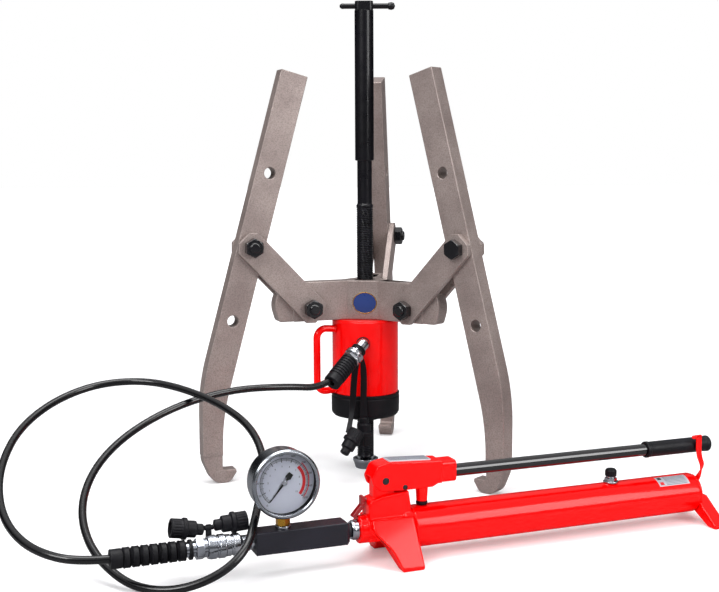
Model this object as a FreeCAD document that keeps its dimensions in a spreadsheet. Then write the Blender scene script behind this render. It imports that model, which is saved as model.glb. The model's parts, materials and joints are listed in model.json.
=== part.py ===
import FreeCAD, Part
import math
import os
import Sketcher
from FreeCAD import Placement, Rotation, Vector

# Hydraulic gear puller: three hinged jaws on a crosshead, a hollow ram and a long spindle on the puller axis,
# and a hand pump with a gauge block joined to the ram by one hose. Millimetres, +Z up. The origin is on the
# puller axis, in the plane that the spindle tip, the jaw hooks and the pump feet stand on.

doc = FreeCAD.newDocument("GearPuller")
sheet = doc.addObject("Spreadsheet::Sheet", "Sizes")

SIZES = {
    # jaws and links; angles in degrees, azimuths about the puller axis
    "left_azimuth": 200.6, "jaw_spacing": 120, "lug_radius": 103.9, "lug_height": 287.7,
    "link_length": 146.8, "link_angle": 46.2, "link_width": 47, "link_thick": 10, "link_gap": 0.2,
    "link_reach": 21.5, "link_corner": 11, "jaw_lean": 15.3, "jaw_thick": 28, "jaw_width": 47,
    "jaw_above": 296, "jaw_inner": 53.5, "jaw_outer": 87.5, "ledge_height": 22, "hook_tip": 30.5,
    "hook_thick": 25, "spare_hole": 126, "spare_hole_radius": 9.5, "bolt_radius": 9, "bolt_clear": 0.06,
    "head_flats": 28, "head_tall": 12, "nut_tall": 14, "bolt_end": 4,
    # crosshead
    "crosshead_low": 265.4, "crosshead_top": 332, "lug_end": 166, "hub_face": 31.2, "hub_half": 26,
    "crosshead_bore": 18, "nose_thick": 26,
    # ram
    "ram_radius": 57, "ram_top": 265.2, "ram_shoulder": 136.5, "ram_low": 97, "collar_radius": 54.5,
    "cylinder_bore": 42, "cylinder_roof": 240, "guide_bore": 17, "guide_radius": 20, "guide_low": 116,
    "protector_radius": 59, "protector_low": 95.6, "protector_clear": 0.3,
    "grip_bar": 6, "grip_reach": 34, "grip_azimuth": 205, "grip_high": 252, "grip_low": 141,
    "rod_radius": 33, "rod_bore": 20.4, "piston_low": 212, "piston_top": 238, "rod_low": 93,
    "insert_radius": 26, "insert_low": 88, "insert_top": 113, "fit_clear": 0.1,
    # spindle
    "thread_radius": 14.5, "neck_radius": 12.5, "thread_top": 459, "neck_top": 535, "sleeve_radius": 16,
    "spindle_top": 800.9, "head_low": 785.5, "spindle_foot": 14, "tip_height": 17, "tip_rim": 22,
    "tip_foot": 17.5, "ball_end": 5.5, "bar_radius": 4.5, "bar_height": 793.3, "bar_left": 36.5,
    "bar_right": 46, "ball_small": 4.6, "ball_large": 6.5,
    # pump: its frame is turned about Z; x runs along the tank, y to the far side, z up
    "pump_x": 38.5, "pump_y": -482.5, "pump_turn": 21, "tank_radius": 28.75, "tank_height": 41.5,
    "tank_start": 20.3, "tank_end": 476, "tank_wall": 2.5, "line_height": 46, "foot_half": 60,
    "lever_pin_x": -21, "lever_pin_z": 112, "lever_pin_radius": 5.2, "piston_x": 7, "piston_pin_z": 101,
    "piston_pin_radius": 3.9, "pump_rod_radius": 6, "cheek_inner": 9.2, "cheek_outer": 16,
    "tube_radius": 8.75, "handle_radius": 12, "handle_start": 395, "handle_end": 506,
    # gauge and line fittings, along the outlet axis of the pump
    "block_side": 30, "block_right": -71, "block_left": -200, "gauge_x": -160, "gauge_height": 122.5,
    "gauge_case_radius": 44, "gauge_bezel_radius": 46, "hose_radius": 5.5, "grip_end": -385,
}
for row, (name, value) in enumerate(SIZES.items(), start=1):
    sheet.set("A%d" % row, name)
    sheet.set("B%d" % row, str(value))
    sheet.setAlias("B%d" % row, name)
doc.recompute()


def size(name):
    return float(sheet.get(name))


parts = []


def publish(obj, label):
    """Name a finished sub-part and put it on the list of pieces to export."""
    obj.Label = label
    parts.append(obj)
    return obj


# ---------------------------------------------------------------- drawing helpers

def draw(sketch, corners):
    """Closed outline through corners (x, y) or (x, y, radius); a radius rounds that corner."""
    points = [Vector(c[0], c[1], 0) for c in corners]
    radii = [c[2] if len(c) > 2 else 0 for c in corners]
    entries, exits, middles = [], [], []
    count = len(points)
    for i, point in enumerate(points):
        back = (points[i - 1] - point).normalize()
        ahead = (points[(i + 1) % count] - point).normalize()
        half = back.getAngle(ahead) / 2
        reach = radii[i] / math.tan(half) if radii[i] else 0
        entries.append(point + back * reach)
        exits.append(point + ahead * reach)
        inward = (back + ahead).normalize() if radii[i] else Vector()
        middles.append(point + inward * (radii[i] / math.sin(half) - radii[i]) if radii[i] else point)
    for i in range(count):
        if radii[i]:
            sketch.addGeometry(Part.Arc(entries[i], middles[i], exits[i]), False)
        start, end = exits[i], entries[(i + 1) % count]
        if start.distanceToPoint(end) > 1e-6:
            sketch.addGeometry(Part.LineSegment(start, end), False)


def ring(sketch, x, y, radius, formula=None):
    """Full circle; the formula ties its radius to the size sheet."""
    index = sketch.addGeometry(Part.Circle(Vector(x, y, 0), Vector(0, 0, 1), radius), False)
    if formula:
        bound = sketch.addConstraint(Sketcher.Constraint("Radius", index, radius))
        sketch.setExpression("Constraints[%d]" % bound, formula)


def new_body(name):
    body = doc.addObject("PartDesign::Body", name)
    return body


def sketch_on(body, role, lift=0, swing=0):
    """Sketch on one of the body's own planes, lifted along its normal and swung about its upright."""
    sketch = body.newObject("Sketcher::SketchObject", body.Name + "_outline")
    plane = [f for f in body.Origin.OriginFeatures if f.Role == role][0]
    sketch.AttachmentSupport = [(plane, "")]
    sketch.MapMode = "FlatFace"
    turn = Rotation(Vector(0, 1, 0), swing)
    sketch.AttachmentOffset = Placement(turn.multVec(Vector(0, 0, lift)), turn)
    return sketch


def pad(body, sketch, length, both_ways=False):
    """Pad by a length that is a number or a formula on the size sheet."""
    feature = body.newObject("PartDesign::Pad", body.Name + "_pad")
    feature.Profile = sketch
    if isinstance(length, str):
        feature.setExpression("Length", length)
    else:
        feature.Length = length
    feature.Midplane = both_ways
    sketch.Visibility = False
    return feature


def pocket(body, sketch, depth, both_ways=False):
    feature = body.newObject("PartDesign::Pocket", body.Name + "_pocket")
    feature.Profile = sketch
    feature.Length = depth
    feature.Midplane = both_ways
    doc.recompute()
    return feature


def turned(name, corners, place=None, about="V_Axis"):
    """Body of revolution. About V_Axis corners are (radius, height); about H_Axis they are (along, radius)."""
    body = new_body(name)
    sketch = sketch_on(body, "XZ_Plane")
    draw(sketch, corners)
    feature = body.newObject("PartDesign::Revolution", name + "_turn")
    feature.Profile = sketch
    feature.ReferenceAxis = (sketch, [about])
    feature.Angle = 360
    if place:
        body.Placement = place
    return body


def primitive(kind, name, place=None, **formulas):
    """Part primitive with every size given as a formula on the size sheet, or as a number."""
    obj = doc.addObject("Part::" + kind, name)
    for prop, value in formulas.items():
        if isinstance(value, str):
            obj.setExpression(prop, value)
        else:
            setattr(obj, prop, value)
    if place:
        obj.Placement = place
    return obj


def combine(kind, name, first, others, place=None):
    """Cut or fuse others with first."""
    if kind == "Cut":
        tool = others[0]
        if len(others) > 1:
            tool = doc.addObject("Part::MultiFuse", name + "_tool")
            tool.Shapes = others
        obj = doc.addObject("Part::Cut", name)
        obj.Base, obj.Tool = first, tool
    else:
        obj = doc.addObject("Part::MultiFuse", name)
        obj.Shapes = [first] + others
        obj.Refine = True
    if place:
        obj.Placement = place
    return obj


def group(label, members, place=None):
    """Separate solids that share one name."""
    obj = doc.addObject("Part::Compound", label)
    obj.Links = members
    if place:
        obj.Placement = place
    return publish(obj, label)


def hexagon(sketch, flats, x=0, y=0, turn=0):
    """Hexagon given by its width across flats."""
    reach = flats / math.sqrt(3)
    angles = [math.radians(60 * i + turn) for i in range(6)]
    draw(sketch, [(x + reach * math.cos(a), y + reach * math.sin(a)) for a in angles])


def pointing(direction, origin=Vector(0, 0, 0)):
    """Placement that turns local +Z to a direction."""
    return Placement(origin, Rotation(Vector(0, 0, 1), direction))


# ---------------------------------------------------------------- directions and frames

AZIMUTHS = {
    "left": size("left_azimuth"),
    "right": size("left_azimuth") + size("jaw_spacing"),
    "rear": size("left_azimuth") + 2 * size("jaw_spacing") - 360,
}
LEAN = math.radians(size("jaw_lean"))
ARM_UP = Vector(-math.sin(LEAN), math.cos(LEAN), 0)
ARM_OUT = Vector(math.cos(LEAN), math.sin(LEAN), 0)
LINK = math.radians(size("link_angle"))
LINK_DIR = Vector(math.cos(LINK), math.sin(LINK), 0)
LINK_SIDE = Vector(-math.sin(LINK), math.cos(LINK), 0)
ARM_PIVOT = Vector(size("lug_radius") + size("link_length") * math.cos(LINK),
                   0, size("lug_height") + size("link_length") * math.sin(LINK))
PUMP = Placement(Vector(size("pump_x"), size("pump_y"), 0), Rotation(Vector(0, 0, 1), size("pump_turn")))
LINE = PUMP.multiply(Placement(Vector(0, 0, size("line_height")), Rotation()))
TANK = PUMP.multiply(Placement(Vector(0, 0, size("tank_height")), Rotation()))


def on_arm(azimuth, radius=0, height=0):
    """Frame of one arm: local x outward, local z up, moved out and up."""
    turn = Rotation(Vector(0, 0, 1), azimuth)
    return Placement(turn.multVec(Vector(radius, 0, height)), turn)


# ---------------------------------------------------------------- crosshead

crosshead = new_body("crosshead")
hub = sketch_on(crosshead, "XY_Plane", lift=size("crosshead_low"))
hub_corners = []
for side in ("left", "right", "rear"):
    azimuth = math.radians(AZIMUTHS[side])
    out = Vector(math.cos(azimuth), math.sin(azimuth), 0)
    across = Vector(-math.sin(azimuth), math.cos(azimuth), 0)
    middle = math.radians(AZIMUTHS[side] + 60)
    facing = Vector(math.cos(middle), math.sin(middle), 0)
    along = Vector(-math.sin(middle), math.cos(middle), 0)
    half_lug = size("jaw_thick") / 2
    for point, radius in (
        (out * 84 - across * half_lug, 0),
        (out * 84 + across * half_lug, 0),
        (facing * size("hub_face") - along * size("hub_half"), 8),
        (facing * size("hub_face") + along * size("hub_half"), 8),
    ):
        hub_corners.append((point.x, point.y, radius))
draw(hub, hub_corners)
pad(crosshead, hub, "Sizes.crosshead_top - Sizes.crosshead_low")
for azimuth in AZIMUTHS.values():
    low, top, end = size("crosshead_low"), size("crosshead_top"), size("lug_end")
    web = sketch_on(crosshead, "XZ_Plane", swing=azimuth)
    draw(web, [(48, low), (134, low, 2), (134, top - 8), (112, top, 12), (48, top)])
    pad(crosshead, web, "Sizes.jaw_thick", both_ways=True)
    nose = sketch_on(crosshead, "XZ_Plane", swing=azimuth)
    draw(nose, [(110, low + 0.5), (end - 7, low + 0.5, 7), (end + 2, low + 30, 40), (end - 6, low + 50, 6),
                (132, top - 10, 6), (110, top - 10)])
    pad(crosshead, nose, "Sizes.nose_thick", both_ways=True)
bore = sketch_on(crosshead, "XY_Plane", lift=size("crosshead_top") + 1)
ring(bore, 0, 0, size("crosshead_bore"), "Sizes.crosshead_bore")
pocket(crosshead, bore, 80)
for azimuth in AZIMUTHS.values():
    eye = sketch_on(crosshead, "XZ_Plane", swing=azimuth)
    ring(eye, size("lug_radius"), size("lug_height"), size("bolt_radius") + size("bolt_clear"))
    pocket(crosshead, eye, 40, both_ways=True)
publish(crosshead, "crosshead")


# ---------------------------------------------------------------- jaws, links and their bolts

def make_jaw(side, azimuth):
    """Jaw bar: leaning upper arm, upright lower leg and a thinner hook with a level ledge."""
    half = size("jaw_width") / 2
    top, foot = size("jaw_above"), -ARM_PIVOT.z
    inner, outer = size("jaw_inner"), size("jaw_outer")
    tall_inner = (-inner - half * math.cos(LEAN)) / math.sin(LEAN)
    tall_outer = (half * math.cos(LEAN) - outer) / math.sin(LEAN)
    bend_inner = ARM_UP * tall_inner - ARM_OUT * half
    bend_outer = ARM_UP * tall_outer + ARM_OUT * half
    top_inner = ARM_UP * top - ARM_OUT * half
    top_outer = ARM_UP * top + ARM_OUT * half
    body = new_body(side + "_jaw")
    arm = sketch_on(body, "XZ_Plane")
    draw(arm, [(top_inner.x, top_inner.y, 1.5), (top_outer.x, top_outer.y, 1.5),
               (bend_outer.x, bend_outer.y, 350), (outer, foot + 47), (inner, foot + 47),
               (bend_inner.x, bend_inner.y, 350)])
    pad(body, arm, "Sizes.jaw_thick", both_ways=True)
    ledge = foot + size("ledge_height")
    tip = size("hook_tip")
    hook = sketch_on(body, "XZ_Plane")
    draw(hook, [(inner + 0.6, foot + 49), (outer - 0.6, foot + 49), (outer - 0.6, foot + 38, 30),
                (outer - 17, foot, 24), (42, foot, 14), (tip, ledge - 5, 2), (tip + 1, ledge, 1),
                (inner + 0.6, ledge, 4)])
    pad(body, hook, "Sizes.hook_thick", both_ways=True)
    holes = sketch_on(body, "XZ_Plane")
    ring(holes, 0, 0, size("bolt_radius") + size("bolt_clear"))
    for way in (1, -1):
        spare = ARM_UP * (way * size("spare_hole"))
        ring(holes, spare.x, spare.y, size("spare_hole_radius"), "Sizes.spare_hole_radius")
    pocket(body, holes, 40, both_ways=True)
    body.Placement = on_arm(azimuth, ARM_PIVOT.x, ARM_PIVOT.z)
    publish(body, side + "_jaw")


def make_links(side, azimuth):
    """Two plates with cut corners, one on each face of the lug and the jaw."""
    reach, corner = size("link_reach"), size("link_corner")
    half = size("link_width") / 2
    length = size("link_length")
    outline = [(-reach, half - corner), (-reach + corner, half), (length + reach - corner, half),
               (length + reach, half - corner), (length + reach, corner - half),
               (length + reach - corner, -half), (-reach + corner, -half), (-reach, corner - half)]
    offset = size("jaw_thick") / 2 + size("link_gap")
    plates = []
    for way, name in ((1, "_link_near"), (-1, "_link_far")):
        body = new_body(side + name)
        lift = offset if way > 0 else -offset - size("link_thick")
        plate = sketch_on(body, "XZ_Plane", lift=lift)
        points = [LINK_DIR * a + LINK_SIDE * b for a, b in outline]
        draw(plate, [(p.x, p.y) for p in points])
        pad(body, plate, "Sizes.link_thick")
        holes = sketch_on(body, "XZ_Plane", lift=lift + size("link_thick") + 1)
        for along in (0, length):
            eye = LINK_DIR * along
            ring(holes, eye.x, eye.y, size("bolt_radius") + size("bolt_clear"))
        pocket(body, holes, size("link_thick") + 2)
        body.Placement = on_arm(azimuth, size("lug_radius"), size("lug_height"))
        plates.append(body)
    group(side + "_links", plates)


def make_bolt(name, place):
    """Hexagon bolt along local +Y: head on the -Y side, domed end past the nut."""
    face = size("jaw_thick") / 2 + size("link_gap") + size("link_thick") + 0.1
    body = new_body(name)
    head = sketch_on(body, "XZ_Plane", lift=face)
    hexagon(head, size("head_flats"), turn=30)
    pad(body, head, "Sizes.head_tall")
    shank = sketch_on(body, "XY_Plane")
    end = face + size("nut_tall") + size("bolt_end")
    radius = size("bolt_radius")
    draw(shank, [(0, -face - 1), (radius, -face - 1), (radius, end, 3), (0, end)])
    turn = body.newObject("PartDesign::Revolution", name + "_turn")
    turn.Profile = shank
    turn.ReferenceAxis = (shank, ["V_Axis"])
    turn.Angle = 360
    body.Placement = place
    return body


def make_nut(name, place):
    """Nut on the +Y end of the bolt, clear of its thread."""
    face = size("jaw_thick") / 2 + size("link_gap") + size("link_thick") + 0.1
    body = new_body(name)
    outline = sketch_on(body, "XZ_Plane", lift=-face - size("nut_tall"))
    hexagon(outline, size("head_flats"), turn=30)
    ring(outline, 0, 0, size("bolt_radius") + size("bolt_clear"))
    pad(body, outline, "Sizes.nut_tall")
    body.Placement = place
    return body


lug_bolts = []
lug_nuts = []
for side, azimuth in AZIMUTHS.items():
    make_jaw(side, azimuth)
    make_links(side, azimuth)
    flip = Placement(Vector(), Rotation(Vector(0, 0, 1), 180 if side != "left" else 0))
    arm_place = on_arm(azimuth, ARM_PIVOT.x, ARM_PIVOT.z)
    if side == "rear":
        arm_place = arm_place.multiply(flip)
    fastener = [make_bolt(side + "_arm_screw", arm_place), make_nut(side + "_arm_nut", arm_place)]
    group(side + "_arm_bolt", fastener)
    lug_place = on_arm(azimuth, size("lug_radius"), size("lug_height")).multiply(flip)
    lug_bolts.append(make_bolt(side + "_lug_bolt", lug_place))
    lug_nuts.append(make_nut(side + "_lug_nut", lug_place))
group("lug_bolts", lug_bolts)
group("lug_nuts", lug_nuts)


# ---------------------------------------------------------------- ram

publish(turned("ram_body", [
    (size("guide_bore"), size("guide_low")), (size("guide_radius"), size("guide_low")),
    (size("guide_radius"), size("cylinder_roof")), (size("cylinder_bore"), size("cylinder_roof")),
    (size("cylinder_bore"), size("ram_low")), (size("collar_radius"), size("ram_low"), 1),
    (size("collar_radius"), size("ram_shoulder")), (size("ram_radius"), size("ram_shoulder"), 1),
    (size("ram_radius"), size("ram_top"), 3), (size("guide_bore"), size("ram_top")),
]), "ram_body")
protector_bore = size("collar_radius") + size("protector_clear")
publish(turned("ram_protector", [
    (protector_bore, size("ram_shoulder") - 0.3), (protector_bore, size("ram_low") - 0.3),
    (size("cylinder_bore") - 4, size("ram_low") - 0.3), (size("cylinder_bore") - 4, size("protector_low")),
    (size("protector_radius"), size("protector_low"), 9), (size("protector_radius"), size("ram_shoulder") - 0.3, 1),
]), "ram_protector")
rod = size("rod_radius") + size("fit_clear")
wall = size("cylinder_bore") - size("fit_clear")
publish(turned("ram_gland", [(rod, 99), (wall, 99), (wall, 118), (rod, 118)]), "ram_gland")
rod = size("rod_radius")
seat = size("insert_radius")
insert_low, insert_top = size("insert_low"), size("insert_top")
publish(turned("ram_plunger", [
    (seat, size("rod_low")), (rod, size("rod_low"), 1), (rod, size("piston_low")), (wall, size("piston_low")),
    (wall, size("piston_top")), (size("rod_bore"), size("piston_top")), (size("rod_bore"), insert_top + 0.1),
    (seat, insert_top + 0.1),
]), "ram_plunger")
seat -= size("fit_clear")
thread_bore = size("thread_radius") + size("fit_clear")
publish(turned("spindle_nut", [
    (thread_bore, insert_low), (seat, insert_low, 2), (seat, insert_top), (thread_bore, insert_top),
]), "spindle_nut")

# return spring between the gland and the piston, wire clear of the rod and the bore
spring = doc.addObject("Part::Feature", "ram_spring")
spring_radius = (size("rod_radius") + size("cylinder_bore")) / 2
wire_radius = 3.2
turns = 6
spring_low = 118 + wire_radius + 0.3
spring_tall = size("piston_low") - wire_radius - 0.3 - spring_low
helix = Part.makeHelix(spring_tall / turns, spring_tall, spring_radius)
section = Part.Wire([Part.makeCircle(wire_radius, Vector(spring_radius, 0, 0), Vector(0, 1, 0))])
spring.Shape = Part.Wire(helix.Edges).makePipeShell([section], True, True)
spring.Placement = Placement(Vector(0, 0, spring_low), Rotation())
publish(spring, "ram_spring")


def rounded_path(points, bend):
    """Wire of straight runs joined by tangent arcs; bend gives each inner corner its radius."""
    edges = []
    start = points[0]
    for i in range(1, len(points) - 1):
        corner = points[i]
        back = (points[i - 1] - corner).normalize()
        ahead = (points[i + 1] - corner).normalize()
        half = back.getAngle(ahead) / 2
        radius = bend(points, i, half)
        reach = radius / math.tan(half)
        middle = corner + (back + ahead).normalize() * (radius / math.sin(half) - radius)
        entry, leave = corner + back * reach, corner + ahead * reach
        edges.append(Part.LineSegment(start, entry).toShape())
        edges.append(Part.Arc(entry, middle, leave).toShape())
        start = leave
    edges.append(Part.LineSegment(start, points[-1]).toShape())
    return Part.Wire(edges)


def tube(name, path, radius):
    """Round solid swept along a path."""
    first = path.Edges[0]
    heading = first.tangentAt(first.FirstParameter)
    profile = Part.Wire([Part.makeCircle(radius, first.valueAt(first.FirstParameter), heading)])
    obj = doc.addObject("Part::Feature", name)
    obj.Shape = path.makePipeShell([profile], True, True)
    return publish(obj, name)


# carry handle: bent bar whose ends meet the ram wall
turn = Rotation(Vector(0, 0, 1), size("grip_azimuth"))
bar_wall = size("ram_radius") + 0.9
bar_out = size("ram_radius") + size("grip_reach")
handle_points = [turn.multVec(Vector(r, 0, z)) for r, z in (
    (bar_wall, size("grip_high") - 3), (bar_out, size("grip_high")),
    (bar_out, size("grip_low")), (bar_wall, size("grip_low") + 3))]
tube("ram_handle", rounded_path(handle_points, lambda p, i, half: 16), size("grip_bar"))


# ---------------------------------------------------------------- spindle

thread, neck, sleeve = size("thread_radius"), size("neck_radius"), size("sleeve_radius")
foot = size("spindle_foot")
publish(turned("spindle_screw", [
    (0, foot - 6), (size("ball_end"), foot - 6), (size("ball_end"), foot + 6), (thread, foot + 6, 1.5),
    (thread, size("thread_top"), 1), (neck, size("thread_top") + 3), (neck, size("neck_top") + 40),
    (0, size("neck_top") + 40),
]), "spindle_screw")
head = new_body("spindle_sleeve")
profile = sketch_on(head, "XZ_Plane")
draw(profile, [(neck + 0.05, size("neck_top")), (sleeve, size("neck_top"), 1.5), (sleeve, size("head_low")),
               (0, size("head_low")), (0, size("neck_top") + 40.2), (neck + 0.05, size("neck_top") + 40.2)])
turn = head.newObject("PartDesign::Revolution", "sleeve_turn")
turn.Profile = profile
turn.ReferenceAxis = (profile, ["V_Axis"])
turn.Angle = 360
square = sketch_on(head, "XY_Plane", lift=size("head_low") - 0.5)
flat = sleeve * 0.96
draw(square, [(-flat, -flat, 7), (flat, -flat, 7), (flat, flat, 7), (-flat, flat, 7)])
pad(head, square, "Sizes.spindle_top - Sizes.head_low + 0.5")
cross = sketch_on(head, "YZ_Plane")
ring(cross, 0, size("bar_height"), size("bar_radius") + 0.08)
pocket(head, cross, 60, both_ways=True)
publish(head, "spindle_sleeve")
rim, pad_radius, ball = size("tip_rim"), size("tip_foot"), size("ball_end") + 0.08
publish(turned("spindle_tip", [
    (0, 0), (pad_radius, 0, 1.5), (rim - 2, 8, 6), (rim, size("tip_height"), 0.8),
    (rim - 3, size("tip_height"), 0.8), (thread - 2, 9.5), (ball, 9.5), (ball, foot - 6.3), (0, foot - 6.3),
]), "spindle_tip")
bar = size("bar_radius")
left_end, right_end = -size("bar_left"), size("bar_right")
rod = primitive("Cylinder", "bar_rod", pointing(Vector(1, 0, 0), Vector(left_end, 0, size("bar_height"))),
                Radius="Sizes.bar_radius", Height="Sizes.bar_left + Sizes.bar_right")
small = primitive("Sphere", "bar_small", Placement(Vector(left_end, 0, size("bar_height")), Rotation()),
                  Radius="Sizes.ball_small")
large = primitive("Sphere", "bar_large", Placement(Vector(right_end, 0, size("bar_height")), Rotation()),
                  Radius="Sizes.ball_large")
publish(combine("Fuse", "tommy_bar", rod, [small, large]), "tommy_bar")


# ---------------------------------------------------------------- ram coupler, its caps and straps

ELBOW = Vector(-4, -68, 228)
COUPLER_DIR = Vector(-0.53, -0.65, -0.55).normalize()


def on_coupler(along):
    """Frame on the coupler axis, local +Z toward the hose."""
    return pointing(COUPLER_DIR, ELBOW + COUPLER_DIR * along)


port = primitive("Cylinder", "elbow_port", pointing(Vector(0, -1, 0), Vector(ELBOW.x, -57.3, ELBOW.z)),
                 Radius=11.5, Height=-ELBOW.y - 57.3)
knee = primitive("Sphere", "elbow_knee", Placement(ELBOW, Rotation()), Radius=10.7)
outlet = primitive("Cylinder", "elbow_outlet", on_coupler(0), Radius=10.5, Height=20)
spigot = primitive("Cylinder", "elbow_spigot", on_coupler(0), Radius=9, Height=34)
publish(combine("Fuse", "ram_elbow", port, [knee, outlet, spigot]), "ram_elbow")
publish(turned("ram_coupler_collar", [
    (9.1, 22.6), (13.2, 22.6, 1), (16, 25.5), (16, 27), (15, 28), (16, 29), (16, 32.3, 1), (14, 34), (9.1, 34),
], on_coupler(0)), "ram_coupler_collar")
nut = new_body("ram_hose_nut")
flats = sketch_on(nut, "XY_Plane", lift=34.3)
hexagon(flats, 26)
pad(nut, flats, 6)
nut.Placement = on_coupler(0)
publish(nut, "ram_hose_nut")


def ribbed(start, end, outer, depth, ribs, bore, tail):
    """Profile of a ribbed rubber sleeve, corners (along, radius) from start to a plain tail at the end."""
    pitch = (end - start - tail) / ribs
    corners = [(start, bore), (start, outer - depth)]
    for i in range(ribs):
        low = start + pitch * i
        corners += [(low + pitch * 0.2, outer, pitch * 0.12), (low + pitch * 0.7, outer, pitch * 0.12),
                    (low + pitch * 0.9, outer - depth)]
    corners += [(end - tail, outer - depth), (end - tail, outer - 0.5, 0.5), (end, outer - 1.5, 1),
                (end, bore + 1.4), (end - tail, bore + 1.4), (end - tail, bore)]
    return corners


hose_bore = size("hose_radius") + 0.3
sleeve_profile = ribbed(40.6, 98, 15, 1.8, 8, hose_bore, 14)
publish(turned("ram_restrictor", [(r, a) + tuple(rest) for a, r, *rest in sleeve_profile], on_coupler(0)),
        "ram_restrictor")


def strap(name, stations, thick, ring_place, ring_outer, ring_inner, ring_tall):
    """Flat rubber strap through stations (centre, width), joined at its top to a ring around the fitting."""
    pieces = []
    for a, b in zip(stations[:-1], stations[1:]):
        wires = []
        for centre, wide in (a, b):
            box = [centre + Vector(x * wide / 2, y * thick / 2, 0) for x, y in
                   ((-1, -1), (1, -1), (1, 1), (-1, 1), (-1, -1))]
            wires.append(Part.makePolygon(box))
        pieces.append(Part.makeLoft(wires, True))
    band = Part.makeCylinder(ring_outer, ring_tall)
    band = band.cut(Part.makeCylinder(ring_inner, ring_tall))
    band.Placement = ring_place
    obj = doc.addObject("Part::Feature", name)
    obj.Shape = band.multiFuse(pieces).removeSplitter()
    return obj


straps = [
    strap("long_strap", [(Vector(-6.6, -71.9, 210.2), 4.5), (Vector(-3.5, -70, 188), 11),
                         (Vector(-3.5, -69, 150), 11), (Vector(-3, -70.5, 105.2), 11)], 2,
          on_coupler(12.4), 13.4, 10.6, 3),
    strap("short_strap", [(Vector(-8.6, -74.2, 207.8), 6), (Vector(-17, -72, 186), 10),
                          (Vector(-20, -72, 150), 11), (Vector(-24, -76, 110), 9),
                          (Vector(-29.5, -86, 84), 9)], 2,
          on_coupler(16.8), 13.4, 10.6, 3),
]
group("ram_cap_straps", straps)


def cap_profile(scale):
    """Rubber dust cap: open mouth at height 0, stepped body, solid nipple at the far end."""
    corners = [(8, 0), (11, 0, 1), (11, 13), (12.3, 14, 0.5), (12.3, 18, 0.5), (9.5, 19), (9.5, 29, 1.5),
               (6.5, 30), (6.5, 38, 2), (0, 38), (0, 13), (8, 13)]
    return [tuple(value * scale for value in corner) for corner in corners]


caps = [
    turned("hanging_cap", cap_profile(1.25), pointing(Vector(0, 0, 1), Vector(-3, -69.5, 57))),
    turned("turned_cap", cap_profile(1.2), pointing(Vector(-0.5, -0.42, -0.76), Vector(-14, -98, 87))),
]
group("ram_caps", caps)


# ---------------------------------------------------------------- pump

pump_head = new_body("pump_head")
column = sketch_on(pump_head, "XZ_Plane")
draw(column, [(-44, 30), (-44, 86, 5), (-26, 91, 20), (13, 95.4, 1), (16, 76, 12), (16, 30)])
pad(pump_head, column, 32, both_ways=True)
tongue = sketch_on(pump_head, "XZ_Plane")
pin_x, pin_z = size("lever_pin_x"), size("lever_pin_z")
draw(tongue, [(pin_x - 15, 80), (pin_x - 15, pin_z + 15, 15), (pin_x + 15, pin_z + 15, 15), (pin_x + 15, 80)])
pad(pump_head, tongue, "2 * Sizes.cheek_inner - 0.8", both_ways=True)
boss = sketch_on(pump_head, "YZ_Plane", lift=-56.5)
ring(boss, 0, size("line_height"), 19)
pad(pump_head, boss, 30)


def leg_outline(top_half, top):
    """Splayed pair of feet seen along the tank."""
    foot = size("foot_half")
    return [(-top_half, top), (-foot - 1.5, 5, 3), (-foot, 0), (16 - foot, 0, 2), (-10, 0.42 * top, 8),
            (10, 0.42 * top, 8), (foot - 16, 0, 2), (foot, 0), (foot + 1.5, 5, 3), (top_half, top)]


legs = sketch_on(pump_head, "YZ_Plane", lift=-15)
draw(legs, leg_outline(24, 62))
pad(pump_head, legs, 32)
flange = sketch_on(pump_head, "YZ_Plane", lift=4)
ring(flange, 0, size("tank_height"), 31)
pad(pump_head, flange, 16)
bore = sketch_on(pump_head, "XY_Plane", lift=97)
ring(bore, size("piston_x"), 0, size("pump_rod_radius") + 0.08)
pocket(pump_head, bore, 45)
eye = sketch_on(pump_head, "XZ_Plane")
ring(eye, pin_x, pin_z, size("lever_pin_radius") + 0.05)
pocket(pump_head, eye, 60, both_ways=True)
pump_head.Placement = PUMP
publish(pump_head, "pump_head")

publish(turned("pump_tank", [
    (size("tank_start"), 0), (size("tank_start"), size("tank_radius") - 3, 1.5),
    (size("tank_start") + 4, size("tank_radius"), 2), (size("tank_end"), size("tank_radius"), 2.5),
    (size("tank_end"), 0), (size("tank_end") - 4, 0),
    (size("tank_end") - 4, size("tank_radius") - size("tank_wall")),
    (size("tank_start") + 7, size("tank_radius") - size("tank_wall")), (size("tank_start") + 7, 0),
], TANK, about="H_Axis"), "pump_tank")

rear_foot = new_body("rear_foot")
disc = sketch_on(rear_foot, "YZ_Plane", lift=size("tank_end") + 0.3)
ring(disc, 0, size("tank_height"), 27)
pad(rear_foot, disc, 4)
legs = sketch_on(rear_foot, "YZ_Plane", lift=size("tank_end") + 0.3)
draw(legs, leg_outline(13, 38))
pad(rear_foot, legs, 22)
hole = sketch_on(rear_foot, "YZ_Plane", lift=size("tank_end") + 6)
ring(hole, 0, 50, 3.6)
pocket(rear_foot, hole, 10)
rear_foot.Placement = PUMP
publish(rear_foot, "rear_foot")
hook_frame = PUMP.multiply(Placement(Vector(0, 0, 50), Rotation()))
publish(turned("hook_bolt", [
    (size("tank_end") + 0.8, 0), (size("tank_end") + 0.8, 3.5), (size("tank_end") + 8.1, 3.5),
    (size("tank_end") + 8.1, 6.5, 0.5), (size("tank_end") + 11.5, 6.5, 1.5), (size("tank_end") + 11.5, 0),
], hook_frame, about="H_Axis"), "hook_bolt")

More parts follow.
